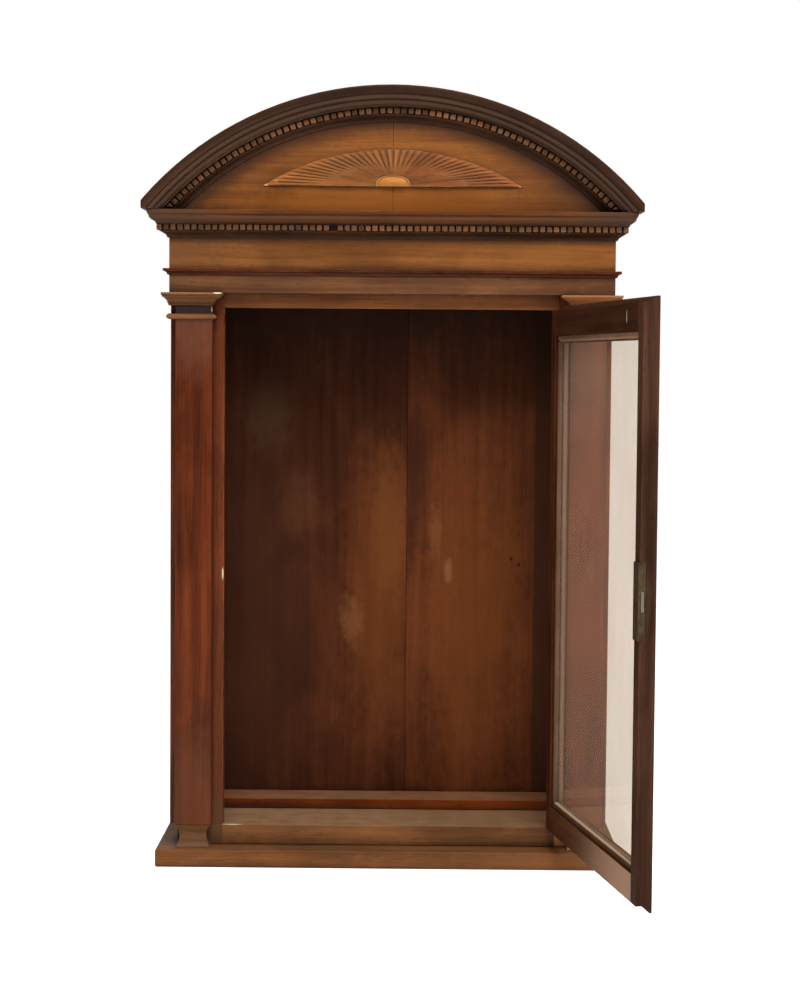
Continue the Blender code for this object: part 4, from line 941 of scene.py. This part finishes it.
def blockShape(size, soft, dice):
    # one dentil: a cube with worn edges, a little out of true
    shape = bmesh.new()
    bmesh.ops.create_cube(shape, size=1.0)
    slack = dentilCut["slack"]
    for corner in shape.verts:
        corner.co = Vector([c * s + dice.uniform(-slack, slack) for c, s in zip(corner.co, size)])
    bmesh.ops.bevel(shape, geom=shape.edges[:], offset=soft, segments=2, profile=0.5, affect="EDGES")
    points = [v.co.copy() for v in shape.verts]
    faces = [[v.index for v in f.verts] for f in shape.faces]
    shape.free()
    return points, faces


def stripShape(length, height, reach, steps):
    points, faces = [], []
    for i in range(steps + 1):
        u = length * i / steps
        points += [(u, 0, 0), (u, height, 0), (u, height, reach), (u, 0, reach)]
    for i in range(steps):
        for k in range(4):
            a, b = 4 * i + k, 4 * i + (k + 1) % 4
            faces.append([a, b, b + 4, a + 4])
    faces += [[0, 1, 2, 3], [4 * steps + k for k in range(4)]]
    return points, faces


def dentilRow(name, node, length, height, reach, place, material, seed, lost=(), dull=(), fade=0.0):
    dice = random.Random(seed)
    cut = dentilCut
    ground = reach - cut["depth"]
    strip, faces = stripShape(length, height, ground, max(1, round(length / cut["stripStep"])))
    points = [place(*p) for p in strip]
    ends = [abs(2 * u / length - 1) ** cut["endPower"] for u, v, w in strip]
    tones = [[g * (1 + cut["endLift"] * fade * end) for g in cut["ground"]] for end in ends]
    count = round((length - cut["width"]) / cut["pitch"])
    step = (length - cut["width"]) / count
    out = cut["depth"] + cut["bury"]
    for i in range(count + 1):
        if i in lost:
            continue
        wide = cut["width"] - dice.uniform(0, cut["worn"])
        size = (wide, height - cut["clear"], out - dice.uniform(0, cut["worn"]))
        shape, blockFaces = blockShape(size, cut["soft"] * dice.uniform(*cut["softShare"]), dice)
        middle = Vector((cut["width"] / 2 + i * step, height / 2, reach - out / 2 - cut["back"]))
        level = dice.uniform(*cut["level"]) * (1 - fade * (2 * i / count - 1) ** 2)  # duller towards the ends
        if i in dull or dice.random() < cut["dullShare"]:
            level *= cut["dull"]
        warm = min(1.0, max(0.0, dice.gauss(*cut["warmth"])))
        tone = [level * (g + (o - g) * warm) for g, o in zip(cut["grey"], cut["orange"])]
        faces += [[k + len(points) for k in f] for f in blockFaces]
        points += [place(*(middle + p)) for p in shape]
        tones += [tone] * len(shape)
    piece = addPiece(name, points, faces, material, "cabinet", tones)
    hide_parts(node)


def cutDentils():
    cut, wood = dentilCut, woods["dentil"]
    straight = finishWood("dentilWood", wood, sides, tinted=True)
    returns = finishWood("dentilReturnWood", wood, deep, tinted=True)
    bent = finishWood("dentilArchWood", wood, sides, bent=True, tinted=True)
    low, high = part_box("dentil_strip_front")
    reach = high.y - low.y
    tall = high.z - low.z
    dentilRow("dentilsFront", "dentil_strip_front", high.x - low.x, tall, reach,
              lambda u, v, w: (low.x + u, high.y - w, low.z + v), straight,
              cut["frontSeed"], lost=(cut["lostBlock"],), fade=cut["frontFade"])
    for side, sign in (("left", -1), ("right", 1)):
        first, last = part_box("dentil_strip_" + side)
        seat = last.x if sign < 0 else first.x
        dentilRow("dentils" + side.title(), "dentil_strip_" + side, last.y - first.y, tall, reach,
                  lambda u, v, w: (seat + sign * w, first.y + u, first.z + v), returns,
                  cut["returnSeed"] + sign)
    foot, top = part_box("arch_dentil_band")
    outer = top.z - archCentre
    inner = outer - cut["archHeight"]
    end = math.acos((foot.z - archCentre) / outer)
    middle = (inner + outer) / 2

    def roundPlace(u, v, w):
        turn = u / middle - end
        r = inner + v
        return (r * math.sin(turn), top.y - w, max(foot.z, archCentre + r * math.cos(turn)))

    dentilRow("dentilsArch", "arch_dentil_band", 2 * end * middle, cut["archHeight"], reach, roundPlace, bent,
              cut["archSeed"], dull=cut["dullBlocks"], fade=cut["archFade"])


cutDentils()
print("dentils cut")


fanCut = dict(
    width=0.293, rise=0.0415, rays=36, across=10, rows=26, rowPower=1.5, ridgePower=0.5,
    trim=0.985,  # how much of the way to the arc the rays go
    depth=0.0017, fall=0.0007, rim=0.0012, clear=0.0003,
    tip=0.93, tipRun=0.03, scallop=0.035,
    smooth=(0.06, 0.30), smoothRun=0.40,  # where the flutes start over the boss, and how much later beside it
    # the groove tone darkens the flutes' grooves: painted shade
    grooveShade=0.24, backTone=(0.6, 0.6, 0.6), ownTones=(0.82, 1.16), seed=23,
)
fanTones = dict(  # each lift and the crest highlight are of red, green and blue
    blades=(2.70, 2.95), bladeStart=(0.25, 0.7), bladeLift=(0.50, 0.42, 0.05),
    # the crest and tip lifts are painted highlights
    crestSpread=0.55, crestPower=6, crestHighlight=(0.35, 0.55, 1.10),
    redder=(1.2, 0.6), redderDim=0.10, redderLift=(0, -0.10, -0.05),
    tipHighlight=0.35, tipReach=0.10,
)
bossCut = dict(
    steps=32, power=2.6, face=0.81, lip=0.89,
    rim=(0.74, 0.98, 1.70), shade=(0.72, 0.66, 0.62), middle=(0.90, 0.84, 0.72),
    profile=((1.0, 0.0), (1.0, 0.45), (0.98, 0.60), (0.94, 0.66), (0.90, 0.60), (0.87, 0.50),
             (0.84, 0.46), (0.79, 0.60), (0.64, 0.80), (0.44, 0.93), (0.22, 1.0)),
)


def easeIn(value, start, end):
    t = min(1.0, max(0.0, (value - start) / (end - start)))
    return t * t * (3 - 2 * t)


def bossEdge(angle, halfWidth, rise):
    power = bossCut["power"]
    return (abs(math.cos(angle) / halfWidth) ** power + abs(math.sin(angle) / rise) ** power) ** (-1 / power)


def rayTone(angle, ridge, share, fade, own):
    # colour of a place on the fan: orange blades at the left, redder at the right, with painted highlights on
    # the crests in the middle and at the tips, and painted shade in the grooves
    look = fanTones
    left = easeIn(angle, *look["blades"]) * easeIn(share, *look["bladeStart"])
    spread = math.exp(-((angle - math.pi / 2) / look["crestSpread"]) ** 2)
    middle = spread * ridge ** look["crestPower"] * fade
    right = easeIn(angle, *look["redder"])
    level = own * (1 - fanCut["grooveShade"] * (1 - ridge) * fade) * (1 - look["redderDim"] * right)
    level *= 1 + look["tipHighlight"] * ridge * easeIn(share, fanCut["tip"] - look["tipReach"], fanCut["tip"])
    lifts = zip(look["bladeLift"], look["crestHighlight"], look["redderLift"])
    return [level * (1 + a * left + b * middle + c * right) for a, b, c in lifts]


def carveFan():
    cut = fanCut
    dice = random.Random(cut["seed"])
    low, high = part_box("fan_carving")
    bossLow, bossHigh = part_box("fan_boss")
    seat, relief, foot = high.y, high.y - low.y, low.z
    halfBoss, riseBoss = bossHigh.x + cut["clear"], bossHigh.z - bossLow.z + cut["clear"]
    radius = (cut["width"] ** 2 / 4 + cut["rise"] ** 2) / (2 * cut["rise"])
    sweep = math.asin(cut["width"] / 2 / radius)
    columns = cut["rays"] * cut["across"]
    ringSize = cut["rows"] + 3  # the points along a ray, and two on the back
    ownTones = [dice.uniform(*cut["ownTones"]) for ray in range(cut["rays"] + 1)]
    nearSmooth, sideSmooth = cut["smooth"]
    points, tones, faces = [], [], []
    for column in range(columns + 1):
        turn = sweep * (1 - 2 * column / columns)
        phase = (column % cut["across"]) / cut["across"]
        ridge = math.sin(math.pi * phase) ** cut["ridgePower"]  # 0 in the groove, 1 on the crest
        outX, outZ = radius * math.sin(turn), max(0.0, radius * math.cos(turn) - radius + cut["rise"])
        angle = math.atan2(outZ, outX)
        start = bossEdge(angle, halfBoss, riseBoss)
        end = math.hypot(outX, outZ) * cut["trim"]
        smooth = nearSmooth + sideSmooth * math.cos(angle) ** 2
        tip = cut["tip"] - cut["scallop"] * (1 - ridge)
        for row in range(cut["rows"] + 1):
            share = 1 - (1 - row / cut["rows"]) ** cut["rowPower"]
            r = start + (end - start) * share
            fade = easeIn(share, smooth, smooth + cut["smoothRun"])
            reach = relief - cut["fall"] * share - cut["depth"] * fade * (1 - ridge)
            reach = reach - (reach - cut["rim"]) * easeIn(share, tip, tip + cut["tipRun"])
            points.append((r * math.cos(angle), seat - reach, foot + r * math.sin(angle)))
            tones.append(rayTone(angle, ridge, share, fade, ownTones[column // cut["across"]]))
        for r in (end, start):
            points.append((r * math.cos(angle), seat, foot + r * math.sin(angle)))
            tones.append(cut["backTone"])
    for column in range(columns):
        for k in range(ringSize):
            a, b = column * ringSize + k, column * ringSize + (k + 1) % ringSize
            faces.append([a, b, b + ringSize, a + ringSize])
    faces += [list(range(ringSize)), [columns * ringSize + k for k in range(ringSize)]]
    worn = (
        mark((low.x + 0.003, low.y, foot + 0.001), (0.004, 0.01, 0.002), pale, 0.3),
        mark((low.x + 0.015, low.y, foot + 0.005), (0.003, 0.01, 0.0014), pale, 0.25),
        mark((high.x - 0.003, low.y, foot + 0.001), (0.003, 0.01, 0.0016), pale, 0.25),
    )
    wood = finishWood("fanWood", woods["fan"], sides, tinted=True, spots=worn, corner=0.006)
    piece = addPiece("carvedFan", points, faces, wood, "cabinet", tones, sharp=60)
    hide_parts("fan_carving")


def carveBoss():
    cut = bossCut
    low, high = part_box("fan_boss")
    relief, rise = high.y - low.y, high.z - low.z
    points, tones, faces = [], [], []
    for size, up in cut["profile"]:
        for i in range(cut["steps"] + 1):
            turn = math.pi * i / cut["steps"]
            r = size * bossEdge(turn, high.x, rise)
            points.append((r * math.cos(turn), high.y - up * relief, low.z + r * math.sin(turn)))
            tones.append(cut["middle" if size < cut["face"] else "shade" if size < cut["lip"] else "rim"])
    across = cut["steps"] + 1
    rows = range(len(cut["profile"]))
    for k in rows[:-1]:
        for i in range(cut["steps"]):
            a = k * across + i
            faces.append([a, a + 1, a + 1 + across, a + across])
    faces.append([k * across for k in rows] + [k * across + cut["steps"] for k in reversed(rows)])
    faces += [list(range(across)), [rows[-1] * across + i for i in range(across)]]
    wood = finishWood("bossWood", woods["boss"], sides, tinted=True, corner=0.004)
    piece = addPiece("carvedBoss", points, faces, wood, "cabinet", tones, sharp=50)
    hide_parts("fan_boss")


carveFan()
carveBoss()
print("fan carved")


tongueCut = dict(bite=0.004, thick=0.003, foot=0.001)


def addTongue(name, left, right, wood, shorten):
    # loose tongue in the joint of two boards, which keeps light out of the seam
    first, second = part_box(left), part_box(right)
    seam = (first[1].x, second[0].x)
    middle = (first[0].y + first[1].y) / 2
    half = tongueCut["thick"] / 2
    x = (seam[0] - tongueCut["bite"], seam[1] + tongueCut["bite"])
    y = (middle - half, middle + half)
    z = (first[0].z + tongueCut["foot"], first[1].z - shorten)
    points = [(a, b, c) for a in x for b in y for c in z]
    faces = [(0, 1, 3, 2), (4, 6, 7, 5), (0, 4, 5, 1), (2, 3, 7, 6), (0, 2, 6, 4), (1, 5, 7, 3)]
    piece = addPiece(name, points, faces, wood, "cabinet")


seamWood = finishWood("seamWood", woods["seam"], upright)
addTongue("backTongue", "back_board_left", "back_board_right", seamWood, shorten=0.001)
addTongue("tympanumTongue", "tympanum_left", "tympanum_right", seamWood, shorten=0.003)
print("seams closed")
